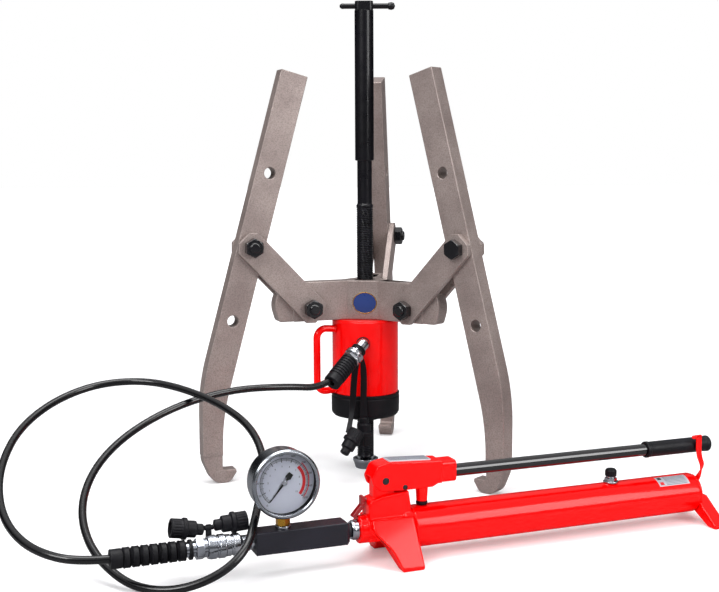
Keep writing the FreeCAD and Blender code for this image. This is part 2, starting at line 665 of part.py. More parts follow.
hook = new_body("handle_hook")
plate = sketch_on(hook, "YZ_Plane", lift=size("tank_end") + 4.7)
draw(plate, [(-8, 42, 8), (8, 42, 8), (8, 54, 6), (-11.5, 72, 10), (-11.5, 92), (-17.5, 92), (-17.5, 70, 10),
             (-8, 54, 6)])
pad(hook, plate, 3)
band = sketch_on(hook, "XZ_Plane", lift=13.8)
back = size("tank_end") + 4.7
draw(band, [(back, 78), (back + 9.5, 78), (back + 3, 100, 20), (back + 3, 131, 3), (back - 14, 131, 2),
            (back - 14, 126, 2), (back - 6.5, 124, 2), (back - 6.5, 100, 20)])
pad(hook, band, 2.8)
hole = sketch_on(hook, "YZ_Plane", lift=size("tank_end") + 9)
ring(hole, 0, 50, 3.56)
pocket(hook, hole, 8)
hook.Placement = PUMP
publish(hook, "handle_hook")

valve = new_body("release_valve")
blade = sketch_on(valve, "XZ_Plane")
draw(blade, [(-47, 92, 2), (-47, 77, 3), (-60, 63, 1.5), (-66, 64.5, 1.5), (-52, 80, 4), (-52, 92, 2)])
pad(valve, blade, 10, both_ways=True)
stem = sketch_on(valve, "YZ_Plane", lift=-48)
ring(stem, 0, 86, 4)
pad(valve, stem, 3.8)
valve.Placement = PUMP
publish(valve, "release_valve")

piston_z = size("piston_pin_z")
piston = new_body("pump_piston")
rod = sketch_on(piston, "XY_Plane", lift=56)
ring(rod, size("piston_x"), 0, size("pump_rod_radius"), "Sizes.pump_rod_radius")
pad(piston, rod, 44)
eye = sketch_on(piston, "XZ_Plane")
draw(eye, [(size("piston_x") - 7, 96.3), (size("piston_x") - 7, piston_z + 7, 7),
           (size("piston_x") + 7, piston_z + 7, 7), (size("piston_x") + 7, 96.3)])
pad(piston, eye, "2 * Sizes.cheek_inner - 1.2", both_ways=True)
hole = sketch_on(piston, "XZ_Plane")
ring(hole, size("piston_x"), piston_z, size("piston_pin_radius") + 0.04)
pocket(piston, hole, 60, both_ways=True)
piston.Placement = PUMP
publish(piston, "pump_piston")


def cross_pin(name, x, z, radius):
    """Plain pin across the pump."""
    place = PUMP.multiply(pointing(Vector(0, 1, 0), Vector(x, -17, z)))
    return publish(primitive("Cylinder", name, place, Radius=radius, Height=34), name)


cross_pin("lever_pin", pin_x, pin_z, "Sizes.lever_pin_radius")
cross_pin("piston_pin", size("piston_x"), piston_z, "Sizes.piston_pin_radius")

HANDLE_Z = 113
lever = new_body("pump_lever")
cheeks = sketch_on(lever, "XZ_Plane")
draw(cheeks, [(-41, 116, 3), (-33, 133, 10), (-14, 137, 12), (62, 133, 3), (62, 101), (56, 101, 4), (48, 97, 4),
              (4, 96.3, 9), (-12, 97.6, 4), (-27, 97.5, 8), (-38, 106, 6)])
pad(lever, cheeks, "2 * Sizes.cheek_outer", both_ways=True)
socket = sketch_on(lever, "YZ_Plane", lift=50)
draw(socket, [(-15, 101, 6), (15, 101, 6), (15, 131, 6), (-15, 131, 6)])
pad(lever, socket, 34)
post = sketch_on(lever, "XY_Plane", lift=75.6)
ring(post, 38, 0, 7.5)
pad(lever, post, 26).TaperAngle = 3
channel = sketch_on(lever, "XZ_Plane")
draw(channel, [(-60, 80), (-60, 110), (-40, 117), (-31, 129, 5), (-14, 131, 5), (28, 129, 4), (28, 80)])
pocket(lever, channel, 2 * size("cheek_inner"), both_ways=True)
eyes = sketch_on(lever, "XZ_Plane")
ring(eyes, pin_x, pin_z, size("lever_pin_radius") + 0.06)
ring(eyes, size("piston_x") - 1, piston_z + 0.2, size("piston_pin_radius") + 1.35)
pocket(lever, eyes, 60, both_ways=True)
bore = sketch_on(lever, "YZ_Plane", lift=85)
ring(bore, 0, HANDLE_Z, size("tube_radius") + 0.1)
pocket(lever, bore, 34)
lever.Placement = PUMP
publish(lever, "pump_lever")
bumper_place = PUMP.multiply(Placement(Vector(38, 0, 0), Rotation()))
publish(turned("lever_bumper", [(0, 70.8), (7.7, 70.8, 1.2), (8.1, 75.4, 0.8), (0, 75.4)], bumper_place),
        "lever_bumper")
HANDLE = PUMP.multiply(Placement(Vector(0, 0, HANDLE_Z), Rotation()))
tube_radius = size("tube_radius")
publish(turned("handle_tube", [
    (52, tube_radius - 2), (52, tube_radius), (500, tube_radius), (500, tube_radius - 2),
], HANDLE, about="H_Axis"), "handle_tube")
grip_start, grip_end, grip_radius = size("handle_start"), size("handle_end"), size("handle_radius")
publish(turned("handle_grip", [
    (grip_start, tube_radius + 0.1), (grip_start, grip_radius, 0.8), (grip_start + 5, grip_radius, 1),
    (grip_start + 6, grip_radius - 0.7), (grip_end - 8, grip_radius - 0.7), (grip_end - 7, grip_radius - 0.2),
    (grip_end, grip_radius - 0.2, 3), (grip_end, 0), (grip_end - 4, 0), (grip_end - 4, tube_radius + 0.1),
], HANDLE, about="H_Axis"), "handle_grip")
filler_place = PUMP.multiply(Placement(Vector(338, 0, 0), Rotation()))
publish(turned("filler_cap", [
    (0, 70.4), (11, 70.4, 0.5), (11, 72.6, 0.6), (9, 73), (9, 77.5, 0.6), (6, 78), (6, 79.2), (8.4, 79.8, 0.6),
    (8.4, 88, 1.5), (6.4, 90.5, 1), (0, 90.5),
], filler_place), "filler_cap")


# ---------------------------------------------------------------- line fittings, gauge block and gauge

publish(turned("outlet_fitting", [
    (-66.3, 0), (-66.3, 12, 0.8), (-63, 13.5, 0.8), (-56.8, 13.5, 0.8), (-56.8, 0),
], LINE, about="H_Axis"), "outlet_fitting")
block = new_body("gauge_block")
side = size("block_side") / 2
square = sketch_on(block, "YZ_Plane", lift=size("block_left"))
draw(square, [(-side, -side, 1.5), (side, -side, 1.5), (side, side, 1.5), (-side, side, 1.5)])
pad(block, square, "Sizes.block_right - Sizes.block_left - 4")
cut_end = sketch_on(block, "YZ_Plane", lift=size("block_right") - 4.5)
draw(cut_end, [(-side + 3, -side + 3, 2), (side - 3, -side + 3, 2), (side - 3, side - 3, 2),
               (-side + 3, side - 3, 2)])
pad(block, cut_end, 4.5)
neck_end = sketch_on(block, "YZ_Plane", lift=size("block_right") - 1)
ring(neck_end, 0, 0, 9.5)
pad(block, neck_end, -65.6 - size("block_right"))
way = sketch_on(block, "YZ_Plane", lift=-60)
ring(way, 0, 0, 4)
pocket(block, way, 145)
tapping = sketch_on(block, "XY_Plane", lift=side + 1)
ring(tapping, size("gauge_x"), 0, 6.1)
pocket(block, tapping, 13)
block.Placement = LINE
publish(block, "gauge_block")
above = size("line_height") + side
nut_place = PUMP.multiply(Placement(Vector(size("gauge_x"), 0, 0), Rotation()))
publish(turned("gauge_nut", [
    (6.2, above + 0.2), (10.5, above + 0.2, 0.4), (10.5, above + 3.4, 0.8), (6.2, above + 3.4),
], nut_place), "gauge_nut")
adaptor = new_body("gauge_adaptor")
stem = sketch_on(adaptor, "XY_Plane", lift=above - 8)
ring(stem, 0, 0, 6)
pad(adaptor, stem, 12)
flats = sketch_on(adaptor, "XY_Plane", lift=above + 3.6)
hexagon(flats, 17)
pad(adaptor, flats, 13.3)
adaptor.Placement = nut_place
publish(adaptor, "gauge_adaptor")

GAUGE = PUMP.multiply(pointing(Vector(0, -1, 0), Vector(size("gauge_x"), 0, size("gauge_height"))))
case_radius, bezel_radius = size("gauge_case_radius"), size("gauge_bezel_radius")
publish(turned("gauge_case", [
    (0, -16), (case_radius, -16, 3), (case_radius, 12.6, 0.5), (case_radius - 1.4, 12.6),
    (case_radius - 1.4, -13.6), (0, -13.6),
], GAUGE), "gauge_case")
publish(turned("gauge_bezel", [
    (case_radius - 3.8, 17.9), (case_radius - 3.8, 20.5, 0.8), (bezel_radius, 20.5, 3.5), (bezel_radius, 12.9, 1),
    (case_radius - 1.3, 12.9), (case_radius - 1.3, 17.9),
], GAUGE), "gauge_bezel")
publish(turned("gauge_dial", [(2.6, 5.8), (41.8, 5.8), (41.8, 7), (2.6, 7)], GAUGE), "gauge_dial")
publish(turned("gauge_lens", [(0, 15.6), (42.4, 15.6), (42.4, 17.6), (0, 17.6)], GAUGE), "gauge_lens")
pointer = new_body("gauge_pointer")
hub = sketch_on(pointer, "XY_Plane", lift=-13.2)
ring(hub, 0, 0, 2.5)
pad(pointer, hub, 23.4)
needle = sketch_on(pointer, "XY_Plane", lift=8.4)
aim = math.radians(231)
ahead, beside = Vector(math.cos(aim), math.sin(aim), 0), Vector(-math.sin(aim), math.cos(aim), 0)
shape = [ahead * a + beside * b for a, b in
         ((31, 0.3), (3, 1.5), (-7, 1.3), (-10, 3.4), (-14, 2.6), (-14, -2.6), (-10, -3.4), (-7, -1.3), (3, -1.5),
          (31, -0.3))]
draw(needle, [(p.x, p.y) for p in shape])
pad(pointer, needle, 0.8)
pointer.Placement = GAUGE
publish(pointer, "gauge_pointer")

publish(turned("line_coupler_body", [
    (-262, 0), (-262, 9), (-238, 9), (-238, 14.2, 0.6), (-232, 14.2), (-231, 13.2), (-229, 13.2), (-228, 14.2),
    (-220, 14.2, 1), (-216.3, 10.5), (-206, 10.5, 1), (-205, 9), (size("block_left") - 0.3, 9),
    (size("block_left") - 0.3, 0),
], LINE, about="H_Axis"), "line_coupler_body")
publish(turned("line_coupler_collar", [
    (-261.7, 9.1), (-261.7, 14.4, 1), (-257, 15.5, 0.8), (-251, 15.5), (-250, 14.3), (-248, 14.3), (-247, 15.5),
    (-239.5, 15.5, 1), (-238.4, 14.4), (-238.4, 9.1),
], LINE, about="H_Axis"), "line_coupler_collar")
fitting = new_body("hose_end_fitting")
core = sketch_on(fitting, "XZ_Plane")
draw(core, [(-289.2, 0), (-289.2, 9.5), (-277, 9.5), (-277, 12), (-262.3, 12), (-262.3, 0)])
turn = fitting.newObject("PartDesign::Revolution", "fitting_turn")
turn.Profile = core
turn.ReferenceAxis = (core, ["H_Axis"])
turn.Angle = 360
flats = sketch_on(fitting, "YZ_Plane", lift=-277)
hexagon(flats, 25)
pad(fitting, flats, 10.6)
fitting.Placement = LINE
publish(fitting, "hose_end_fitting")
sleeve_profile = ribbed(-385, -289.5, 13, 2, 7, hose_bore, 14)
publish(turned("hose_grip", sleeve_profile, LINE, about="H_Axis"), "hose_grip")

band = primitive("Cylinder", "strap_band", pointing(Vector(1, 0, 0), Vector(-285.6, 0, 0)), Radius=13, Height=4.2)
gap = primitive("Cylinder", "strap_gap", pointing(Vector(1, 0, 0), Vector(-286, 0, 0)), Radius=9.8, Height=5)
loop = combine("Cut", "strap_loop", band, [gap])
lug = primitive("Box", "strap_lug", Placement(Vector(-285.6, 12, -3), Rotation()), Length=4.2, Width=6.4, Height=8)
strip = primitive("Box", "strap_strip", Placement(Vector(-285.6, 16, -3), Rotation()),
                  Length=34.6, Width=2.4, Height=8)
riser = primitive("Box", "strap_riser", Placement(Vector(-259, 16, 4), Rotation()), Length=8, Width=2.4, Height=21)
bridge = primitive("Cylinder", "strap_bridge", pointing(Vector(1, 0, 0), Vector(-260.4, 18, 20.4)),
                   Radius=3.2, Height=12)
publish(combine("Fuse", "line_cap_strap", loop, [lug, strip, riser, bridge], LINE), "line_cap_strap")
caps = [
    turned("left_line_cap", cap_profile(1.15), pointing(Vector(0.987, 0, -0.16), Vector(-305, 18, 25.5))),
    turned("right_line_cap", cap_profile(1.15), pointing(Vector(-0.9988, 0, -0.05), Vector(-204, 18, 24.5))),
]
group("line_caps", caps, LINE)


# ---------------------------------------------------------------- hose

# control corners of the hose: out of the ram, one loop on the floor side, over the gauge block's left end,
# behind the gauge and round a second, higher loop into the grip
HOSE_POINTS = [
    (-33.6, -104.3, 197.3), (-62.1, -139.3, 167.7), (-132, -182, 179), (-213, -214, 180), (-290, -262, 165),
    (-352, -325, 138), (-386, -402, 107), (-390, -480, 71), (-362, -550, 36), (-312, -598, 10),
    (-266, -622, 5), (-222, -627, 11), (-180, -616, 27), (-153, -592, 49), (-147, -556, 71),
    (-146, -513, 80), (-139, -442, 115), (-162, -368, 152), (-216, -300, 175), (-286, -240, 189),
    (-350, -210, 195), (-418, -222, 192), (-472, -274, 177), (-506, -345, 151), (-512, -420, 118),
    (-496, -494, 89), (-462, -564, 67), (-414, -616, 54), (-353.6, -633, 46), (-297.6, -611.5, 46),
]
HOSE_POINTS = [Vector(*p) for p in HOSE_POINTS]


def hose_bend(points, i, half):
    """Radius that uses 0.45 of the shorter run on each side of a corner."""
    shorter = min(points[i].distanceToPoint(points[i - 1]), points[i].distanceToPoint(points[i + 1]))
    radius = 0.45 * shorter * math.tan(half)
    print("hose corner %d radius %.1f" % (i, radius))
    return radius


path = rounded_path(HOSE_POINTS, hose_bend)
hose = tube("hose", path, size("hose_radius"))
section_area = math.pi * size("hose_radius") ** 2
print("hose length %.1f, volume ratio %.5f" % (path.Length, hose.Shape.Volume / (path.Length * section_area)))


# ---------------------------------------------------------------- checks and export

doc.recompute()
for obj in doc.Objects:
    if "Invalid" in obj.State or "Error" in obj.State:
        raise RuntimeError("%s is in state %s" % (obj.Label, obj.State))
os.makedirs("parts", exist_ok=True)
for obj in parts:
    if obj.Shape.isNull() or not obj.Shape.isValid():
        raise RuntimeError("%s has no valid shape" % obj.Label)
    obj.Shape.exportStep("parts/%s.step" % obj.Label)
print("%d pieces exported" % len(parts))
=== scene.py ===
import json
import math

import bmesh
import bpy
from mathutils import Matrix, Vector, noise

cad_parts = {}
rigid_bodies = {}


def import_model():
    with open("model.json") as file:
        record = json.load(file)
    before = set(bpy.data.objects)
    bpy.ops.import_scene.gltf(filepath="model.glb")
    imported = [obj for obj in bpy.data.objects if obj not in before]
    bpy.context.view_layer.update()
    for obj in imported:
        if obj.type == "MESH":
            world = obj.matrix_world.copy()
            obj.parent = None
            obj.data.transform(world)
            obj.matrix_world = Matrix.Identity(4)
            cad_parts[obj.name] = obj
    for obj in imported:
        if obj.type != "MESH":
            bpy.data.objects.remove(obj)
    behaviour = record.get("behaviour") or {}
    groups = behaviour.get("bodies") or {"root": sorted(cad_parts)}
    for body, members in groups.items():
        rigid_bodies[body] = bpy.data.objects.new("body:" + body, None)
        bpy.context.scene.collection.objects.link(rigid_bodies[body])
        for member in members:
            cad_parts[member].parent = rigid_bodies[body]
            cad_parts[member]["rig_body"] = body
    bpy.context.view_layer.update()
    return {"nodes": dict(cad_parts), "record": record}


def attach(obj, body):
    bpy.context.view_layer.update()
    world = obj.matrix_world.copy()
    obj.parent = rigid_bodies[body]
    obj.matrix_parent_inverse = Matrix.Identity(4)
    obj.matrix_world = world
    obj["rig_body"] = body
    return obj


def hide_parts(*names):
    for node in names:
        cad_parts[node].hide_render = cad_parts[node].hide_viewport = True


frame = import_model()
NODES = frame["nodes"]

# Hydraulic gear puller with its hollow ram, hose, gauge block and hand pump. Pieces are drawn in millimetres
# in the same local frames as the CAD, and go into the shared frame in metres. X right, Y away, Z up.

MM = Matrix.Scale(0.001, 4)
ORIGIN = Matrix.Identity(4)
UPRIGHT = Matrix.Rotation(math.radians(90), 4, "X")  # a drawing stands up: x along, y up, depth toward -Y
ALONG = Matrix(((0, 0, 1, 0), (1, 0, 0, 0), (0, 1, 0, 0), (0, 0, 0, 1)))  # a drawing faces X: x to Y, y up
BEHIND = Matrix.Rotation(math.radians(-90), 4, "X")  # local Z points along Y


def move(x, y, z):
    return Matrix.Translation((x, y, z))


def turn(degrees, axis="Z"):
    return Matrix.Rotation(math.radians(degrees), 4, axis)


def pointing(direction, origin=(0, 0, 0)):
    """Frame at origin whose local Z is the direction."""
    swing = Vector((0, 0, 1)).rotation_difference(Vector(direction))
    return Matrix.Translation(origin) @ swing.to_matrix().to_4x4()


PUMP = move(38.5, -482.5, 0) @ turn(21)
LINE = PUMP @ move(0, 0, 46)
TANK = PUMP @ move(0, 0, 41.5)
HANDLE = PUMP @ move(0, 0, 113)
GAUGE_X = -160
GAUGE = PUMP @ move(GAUGE_X, 0, 122.5) @ UPRIGHT
ELBOW = Vector((-4, -68, 228))
COUPLER_DIR = Vector((-0.53, -0.65, -0.55)).normalized()
COUPLER = pointing(COUPLER_DIR, ELBOW)
AZIMUTHS = {"left": 200.6, "right": 320.6, "rear": 80.6}


# ---------------------------------------------------------------- camera

camera = bpy.data.objects.new("camera", bpy.data.cameras.new("camera"))
bpy.context.scene.collection.objects.link(camera)
bpy.context.scene.camera = camera
camera.data.sensor_width = 36
camera.data.lens = 60.08
camera.data.clip_end = 50
PITCH_DOWN = 0.11451
ROLL = -0.00432
camera.matrix_world = (move(-0.00954, -2.06186, 0.53947)
                       @ Matrix.Rotation(math.radians(90) - PITCH_DOWN, 4, "X")
                       @ Matrix.Rotation(ROLL, 4, "Z"))


# ---------------------------------------------------------------- materials

def srgb(red, green, blue):
    """Linear colour from display values of 0 to 255."""
    values = [c / 255 for c in (red, green, blue)]
    return tuple(c / 12.92 if c <= 0.04045 else ((c + 0.055) / 1.055) ** 2.4 for c in values) + (1,)


class Nodes:
    """Short calls for building one material's node tree."""

    def __init__(self, name):
        self.material = bpy.data.materials.new(name)
        self.material.use_nodes = True
        self.tree = self.material.node_tree
        self.shader = self.tree.nodes["Principled BSDF"]
        self.where = self.add("TexCoord").outputs["Object"]

    @classmethod
    def over(cls, tree):
        """The same calls for a node tree that is already there."""
        made = cls.__new__(cls)
        made.tree = tree
        return made

    def split(self, vector):
        node = self.add("SeparateXYZ")
        self.feed(vector, node.inputs[0])
        return node.outputs

    def add(self, kind, **settings):
        node = self.tree.nodes.new("ShaderNode" + kind)
        for name, value in settings.items():
            setattr(node, name, value)
        return node

    def feed(self, value, socket):
        if isinstance(value, bpy.types.NodeSocket):
            self.tree.links.new(value, socket)
        else:
            socket.default_value = value

    def stretched(self, scale):
        node = self.add("Mapping")
        self.feed(self.where, node.inputs["Vector"])
        node.inputs["Scale"].default_value = scale
        return node.outputs["Vector"]

    def noise(self, scale, detail=3.0, rough=0.55, where=None):
        node = self.add("TexNoise")
        self.feed(where or self.where, node.inputs["Vector"])
        node.inputs["Scale"].default_value = scale
        node.inputs["Detail"].default_value = detail
        node.inputs["Roughness"].default_value = rough
        return node.outputs["Fac"]

    def spread(self, value, low, high, to_low=0.0, to_high=1.0):
        node = self.add("MapRange")
        for socket, number in zip(node.inputs, (value, low, high, to_low, to_high)):
            self.feed(number, socket)
        return node.outputs[0]

    def math(self, operation, first, second=0.0):
        node = self.add("Math", operation=operation)
        self.feed(first, node.inputs[0])
        self.feed(second, node.inputs[1])
        return node.outputs[0]

    def mix(self, factor, first, second):
        node = self.add("Mix", data_type="RGBA")
        self.feed(factor, node.inputs[0])
        self.feed(first, node.inputs[6])
        self.feed(second, node.inputs[7])
        return node.outputs[2]

    def bump(self, height, distance, normal=None):
        node = self.add("Bump")
        node.inputs["Strength"].default_value = 1.0
        node.inputs["Distance"].default_value = distance
        self.feed(height, node.inputs["Height"])
        if normal is not None:
            self.feed(normal, node.inputs["Normal"])
        return node.outputs["Normal"]

    def worn_edge(self, radius):
        """0 on flats and 1 on edges, and the normal with those edges rounded."""
        bevel = self.add("Bevel", samples=4)
        bevel.inputs["Radius"].default_value = radius
        dot = self.add("VectorMath", operation="DOT_PRODUCT")
        self.feed(bevel.outputs[0], dot.inputs[0])
        self.feed(self.add("NewGeometry").outputs["True Normal"], dot.inputs[1])
        return self.spread(dot.outputs["Value"], 0.99, 0.86), bevel.outputs[0]


FINISHES = {}


def surface(name, base, tint, rough, metallic=0.0, drift=14, grain=700, depth=0.00004, stretch=(1, 1, 1),
            coat=0.0, edge=None, edge_radius=0.0008, rough_scale=60, specular=0.5, speckle=None):
    """Finish whose colour drifts from base to tint, with uneven gloss, fine grain, specks and worn edges."""
    n = Nodes(name)
    shader = n.shader.inputs
    shader["Metallic"].default_value = metallic
    shader["Coat Weight"].default_value = coat
    shader["Coat Roughness"].default_value = 0.06
    shader["Specular IOR Level"].default_value = specular
    colour = n.mix(n.spread(n.noise(drift, 5), 0.36, 0.66), srgb(*base), srgb(*tint))
    if speckle:
        colour = n.mix(n.spread(n.noise(520, 2, 0.5), 0.4, 0.75, 0.0, 0.6), colour, srgb(*speckle))
    gloss = n.spread(n.noise(rough_scale, 6, 0.65), 0.3, 0.7, rough[0], rough[1])
    normal = None
    if edge:
        mask, normal = n.worn_edge(edge_radius)
        wear = n.math("MULTIPLY", mask, n.spread(n.noise(90, 5, 0.7), 0.42, 0.62))
        colour = n.mix(wear, colour, srgb(*edge))
    n.feed(colour, shader["Base Color"])
    n.feed(gloss, shader["Roughness"])
    relief = n.noise(grain, 3, 0.6, n.stretched(stretch))
    n.feed(n.bump(relief, depth, normal), shader["Normal"])
    FINISHES[name] = n.material
    return n.material


surface("satin_steel", (166, 152, 147), (146, 132, 128), (0.34, 0.5), metallic=0.45, grain=520,
        depth=0.00014, edge=(214, 204, 198), edge_radius=0.001, speckle=(104, 93, 90))
surface("black_steel", (13, 12, 17), (7, 7, 10), (0.14, 0.28), grain=1200, depth=0.00002, coat=0.5,
        edge=(66, 64, 72), edge_radius=0.0005)
surface("red_paint", (248, 1, 1), (232, 1, 2), (0.16, 0.26), grain=160, depth=0.00003, coat=0.3,
        edge=(255, 70, 60), edge_radius=0.0007, specular=0.12)
surface("dark_red_paint", (150, 8, 16), (118, 6, 12), (0.25, 0.4), grain=300, depth=0.00003, coat=0.5,
        edge=(190, 60, 60), edge_radius=0.0006)
RUBBER = surface("black_rubber", (15, 14, 20), (9, 9, 13), (0.4, 0.56), grain=900, depth=0.00008,
                 edge=(44, 42, 50), edge_radius=0.0006, specular=0.25)
surface("grip_rubber", (14, 14, 20), (8, 8, 12), (0.3, 0.46), grain=850, depth=0.00035, edge=(44, 44, 52),
        edge_radius=0.0005, specular=0.25)
BRIGHT = surface("bright_steel", (205, 208, 214), (176, 180, 190), (0.12, 0.26), metallic=1.0, grain=1800,
                 depth=0.00002, edge=(240, 240, 244), edge_radius=0.0004)
surface("dark_steel", (13, 12, 18), (7, 7, 10), (0.24, 0.38), grain=900, depth=0.00002, coat=0.15,
        edge=(54, 54, 64), edge_radius=0.0006, specular=0.3)
surface("spring_steel", (120, 122, 130), (92, 94, 102), (0.25, 0.4), metallic=1.0)
surface("chrome", (212, 214, 220), (188, 192, 200), (0.08, 0.2), metallic=1.0, grain=1500, depth=0.00002,
        edge=(246, 246, 250), edge_radius=0.0004)
surface("black_enamel", (9, 8, 12), (5, 5, 7), (0.12, 0.22), grain=120, depth=0.00002, coat=0.8,
        edge=(50, 50, 58), edge_radius=0.0004, specular=0.4)
surface("black_anodised", (27, 26, 37), (20, 19, 28), (0.34, 0.48), grain=1100, depth=0.00004,
        edge=(120, 120, 134), edge_radius=0.0005, specular=0.4)
BRASS = surface("brass", (214, 166, 70), (188, 138, 48), (0.2, 0.34), metallic=1.0, grain=1200,
                depth=0.00003, edge=(244, 214, 140), edge_radius=0.0004)
surface("stainless", (178, 182, 188), (150, 154, 162), (0.16, 0.28), metallic=1.0, grain=900,
        stretch=(1, 1, 8), depth=0.00002, edge=(224, 228, 232), edge_radius=0.0005)
surface("dial_white", (204, 208, 222), (194, 198, 214), (0.45, 0.55), grain=600, depth=0.00001)
INK = surface("pointer_black", (10, 10, 12), (18, 18, 20), (0.35, 0.5), grain=900, depth=0.00001)
DIAL_RED = surface("dial_red", (216, 36, 40), (200, 28, 34), (0.4, 0.5), grain=900, depth=0.00001)
HOSE = surface("hose_black", (7, 7, 10), (4, 4, 6), (0.2, 0.32), grain=420, depth=0.00005, coat=0.3,
               specular=0.4)
LABEL = surface("label_silver", (196, 198, 206), (176, 178, 188), (0.3, 0.45), metallic=0.3, grain=900,
                depth=0.00002)
GREY = surface("printed_grey", (112, 114, 124), (96, 98, 108), (0.4, 0.5), grain=900, depth=0.00001)
BLUE = surface("badge_blue", (22, 52, 120), (18, 42, 104), (0.25, 0.35), grain=500, depth=0.00002,
               coat=0.5)


def glass(name):
    """Flat pane: clear straight through, with a glossy skin."""
    n = Nodes(name)
    shader = n.shader.inputs
    shader["Base Color"].default_value = (1, 1, 1, 1)
    shader["Transmission Weight"].default_value = 1.0
    shader["IOR"].default_value = 1.05
    shader["Specular IOR Level"].default_value = 0.6
    n.feed(n.spread(n.noise(30, 4), 0.3, 0.7, 0.0, 0.03), shader["Roughness"])
    FINISHES[name] = n.material


glass("clear_glass")
BODY_OF = {node: obj["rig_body"] for node, obj in NODES.items()}
SLOT_OF = {part["node"]: part["material_slot"] for part in frame["record"]["subparts"]}


# ---------------------------------------------------------------- making pieces

def rounded(corners, closed=True, steps=5):
    """Outline through corners (x, y) or (x, y, radius); a radius turns that corner into an arc."""
    points = []
    count = len(corners)
    for i, corner in enumerate(corners):
        here = Vector(corner[:2])
        radius = corner[2] if len(corner) > 2 else 0
        if not radius or (not closed and i in (0, count - 1)):
            points.append(here)
            continue
        back = (Vector(corners[i - 1][:2]) - here).normalized()
        ahead = (Vector(corners[(i + 1) % count][:2]) - here).normalized()
        half = back.angle(ahead) / 2
        reach = radius / math.tan(half)
        centre = here + (back + ahead).normalized() * (radius / math.sin(half))
        start, end = here + back * reach - centre, here + ahead * reach - centre
        sweep = math.atan2(start.x * end.y - start.y * end.x, start.dot(end))
        for k in range(steps + 1):
            c, s = math.cos(sweep * k / steps), math.sin(sweep * k / steps)
            points.append(centre + Vector((start.x * c - start.y * s, start.x * s + start.y * c)))
    return points


def circle(x, y, radius, count=48):
    angles = [2 * math.pi * k / count for k in range(count)]
    return [(x + radius * math.cos(a), y + radius * math.sin(a)) for a in angles]


def baked(obj):
    """The object's final mesh on its own; the object goes."""
    bpy.context.view_layer.update()
    evaluated = obj.evaluated_get(bpy.context.evaluated_depsgraph_get())
    mesh = bpy.data.meshes.new_from_object(evaluated)
    bpy.data.objects.remove(obj)
    return mesh


def linked(name, data):
    obj = bpy.data.objects.new(name, data)
    bpy.context.scene.collection.objects.link(obj)
    return obj


def plate(outlines, low, high, edge=1.0, place=ORIGIN):
    """Mesh between two heights on local Z: the first outline's area less the others, its edges rounded."""
    curve = bpy.data.curves.new("plate", "CURVE")
    curve.dimensions = "2D"
    curve.fill_mode = "BOTH"
    for outline in outlines:
        spline = curve.splines.new("POLY")
        spline.points.add(len(outline) - 1)
        spline.use_cyclic_u = True
        for point, (x, y) in zip(spline.points, outline):
            point.co = (x, y, 0, 1)
    curve.extrude = (high - low) / 2 - edge
    curve.bevel_depth = edge
    curve.bevel_resolution = 2
    curve.offset = -edge
    mesh = baked(linked("plate", curve))
    bpy.data.curves.remove(curve)
    made = bmesh.new()
    made.from_mesh(mesh)
    bmesh.ops.remove_doubles(made, verts=made.verts, dist=1e-4)
    bmesh.ops.recalc_face_normals(made, faces=made.faces)
    made.to_mesh(mesh)
    made.free()
    mesh.transform(place @ move(0, 0, (low + high) / 2))
    return mesh


def lathe(corners, place=ORIGIN, sides=96, shape=None, step=None, ring=False):
    """Turned mesh from corners (radius, height[, round]) about local Z. shape(radius, angle, height) changes
    the radius round the piece, and step cuts long straights so that it can. ring joins the last corner to
    the first; otherwise the profile starts and ends on the axis."""
    outline = rounded(corners, closed=ring)
    if step:
        cut = [outline[0]]
        for a, b in zip(outline, outline[1:]):
            count = max(1, math.ceil((b - a).length / step))
            cut += [a.lerp(b, k / count) for k in range(1, count + 1)]
        outline = cut
    made = bmesh.new()
    rings = []
    for radius, height in outline:
        if radius < 1e-6:
            rings.append([made.verts.new((0, 0, height))])
            continue
        verts = []
        for k in range(sides):
            angle = 2 * math.pi * k / sides
            r = shape(radius, angle, height) if shape else radius
            verts.append(made.verts.new((r * math.cos(angle), r * math.sin(angle), height)))
        rings.append(verts)
    pairs = list(zip(rings, rings[1:])) + ([(rings[-1], rings[0])] if ring else [])
    for a, b in pairs:
        if len(a) == len(b) == 1:
            continue
        for k in range(sides):
            m = (k + 1) % sides
            if len(a) == 1:
                made.faces.new((a[0], b[m], b[k]))
            elif len(b) == 1:
                made.faces.new((a[k], a[m], b[0]))
            else:
                made.faces.new((a[k], a[m], b[m], b[k]))
    bmesh.ops.remove_doubles(made, verts=made.verts, dist=1e-5)
    bmesh.ops.recalc_face_normals(made, faces=made.faces)
    mesh = bpy.data.meshes.new("lathe")
    made.to_mesh(mesh)
    made.free()
    mesh.transform(place)
    return mesh


def hexed(flats):
    """Shape that keeps a turned piece inside a hexagon, so that its cones become chamfers."""
    def shape(radius, angle, height):
        off = (angle + math.pi / 6) % (math.pi / 3) - math.pi / 6
        return min(radius, flats / 2 / math.cos(off))
    return shape


def hexagon(flats, low, high, bore=0.0, place=ORIGIN, chamfer=(True, True)):
    """Hexagon head or nut with chamfered corners and a hole down its middle."""
    point = flats / math.sqrt(3)
    drop = (point - flats / 2) * 0.62
    corners = [(bore, low)]
    corners += [(flats / 2 - 0.4, low), (point, low + drop)] if chamfer[0] else [(point, low)]
    corners += [(point, high - drop), (flats / 2 - 0.4, high)] if chamfer[1] else [(point, high)]
    corners.append((bore, high))
    if bore:
        corners.append((bore, low))
    return lathe(corners, place, 96, hexed(flats), flats / 26)


def fluted(count, depth, low, high):
    """Shape with shallow flutes between two heights."""
    def shape(radius, angle, height):
        if not low <= height <= high:
            return radius
        return radius - depth * (0.5 + 0.5 * math.cos(angle * count)) ** 2
    return shape


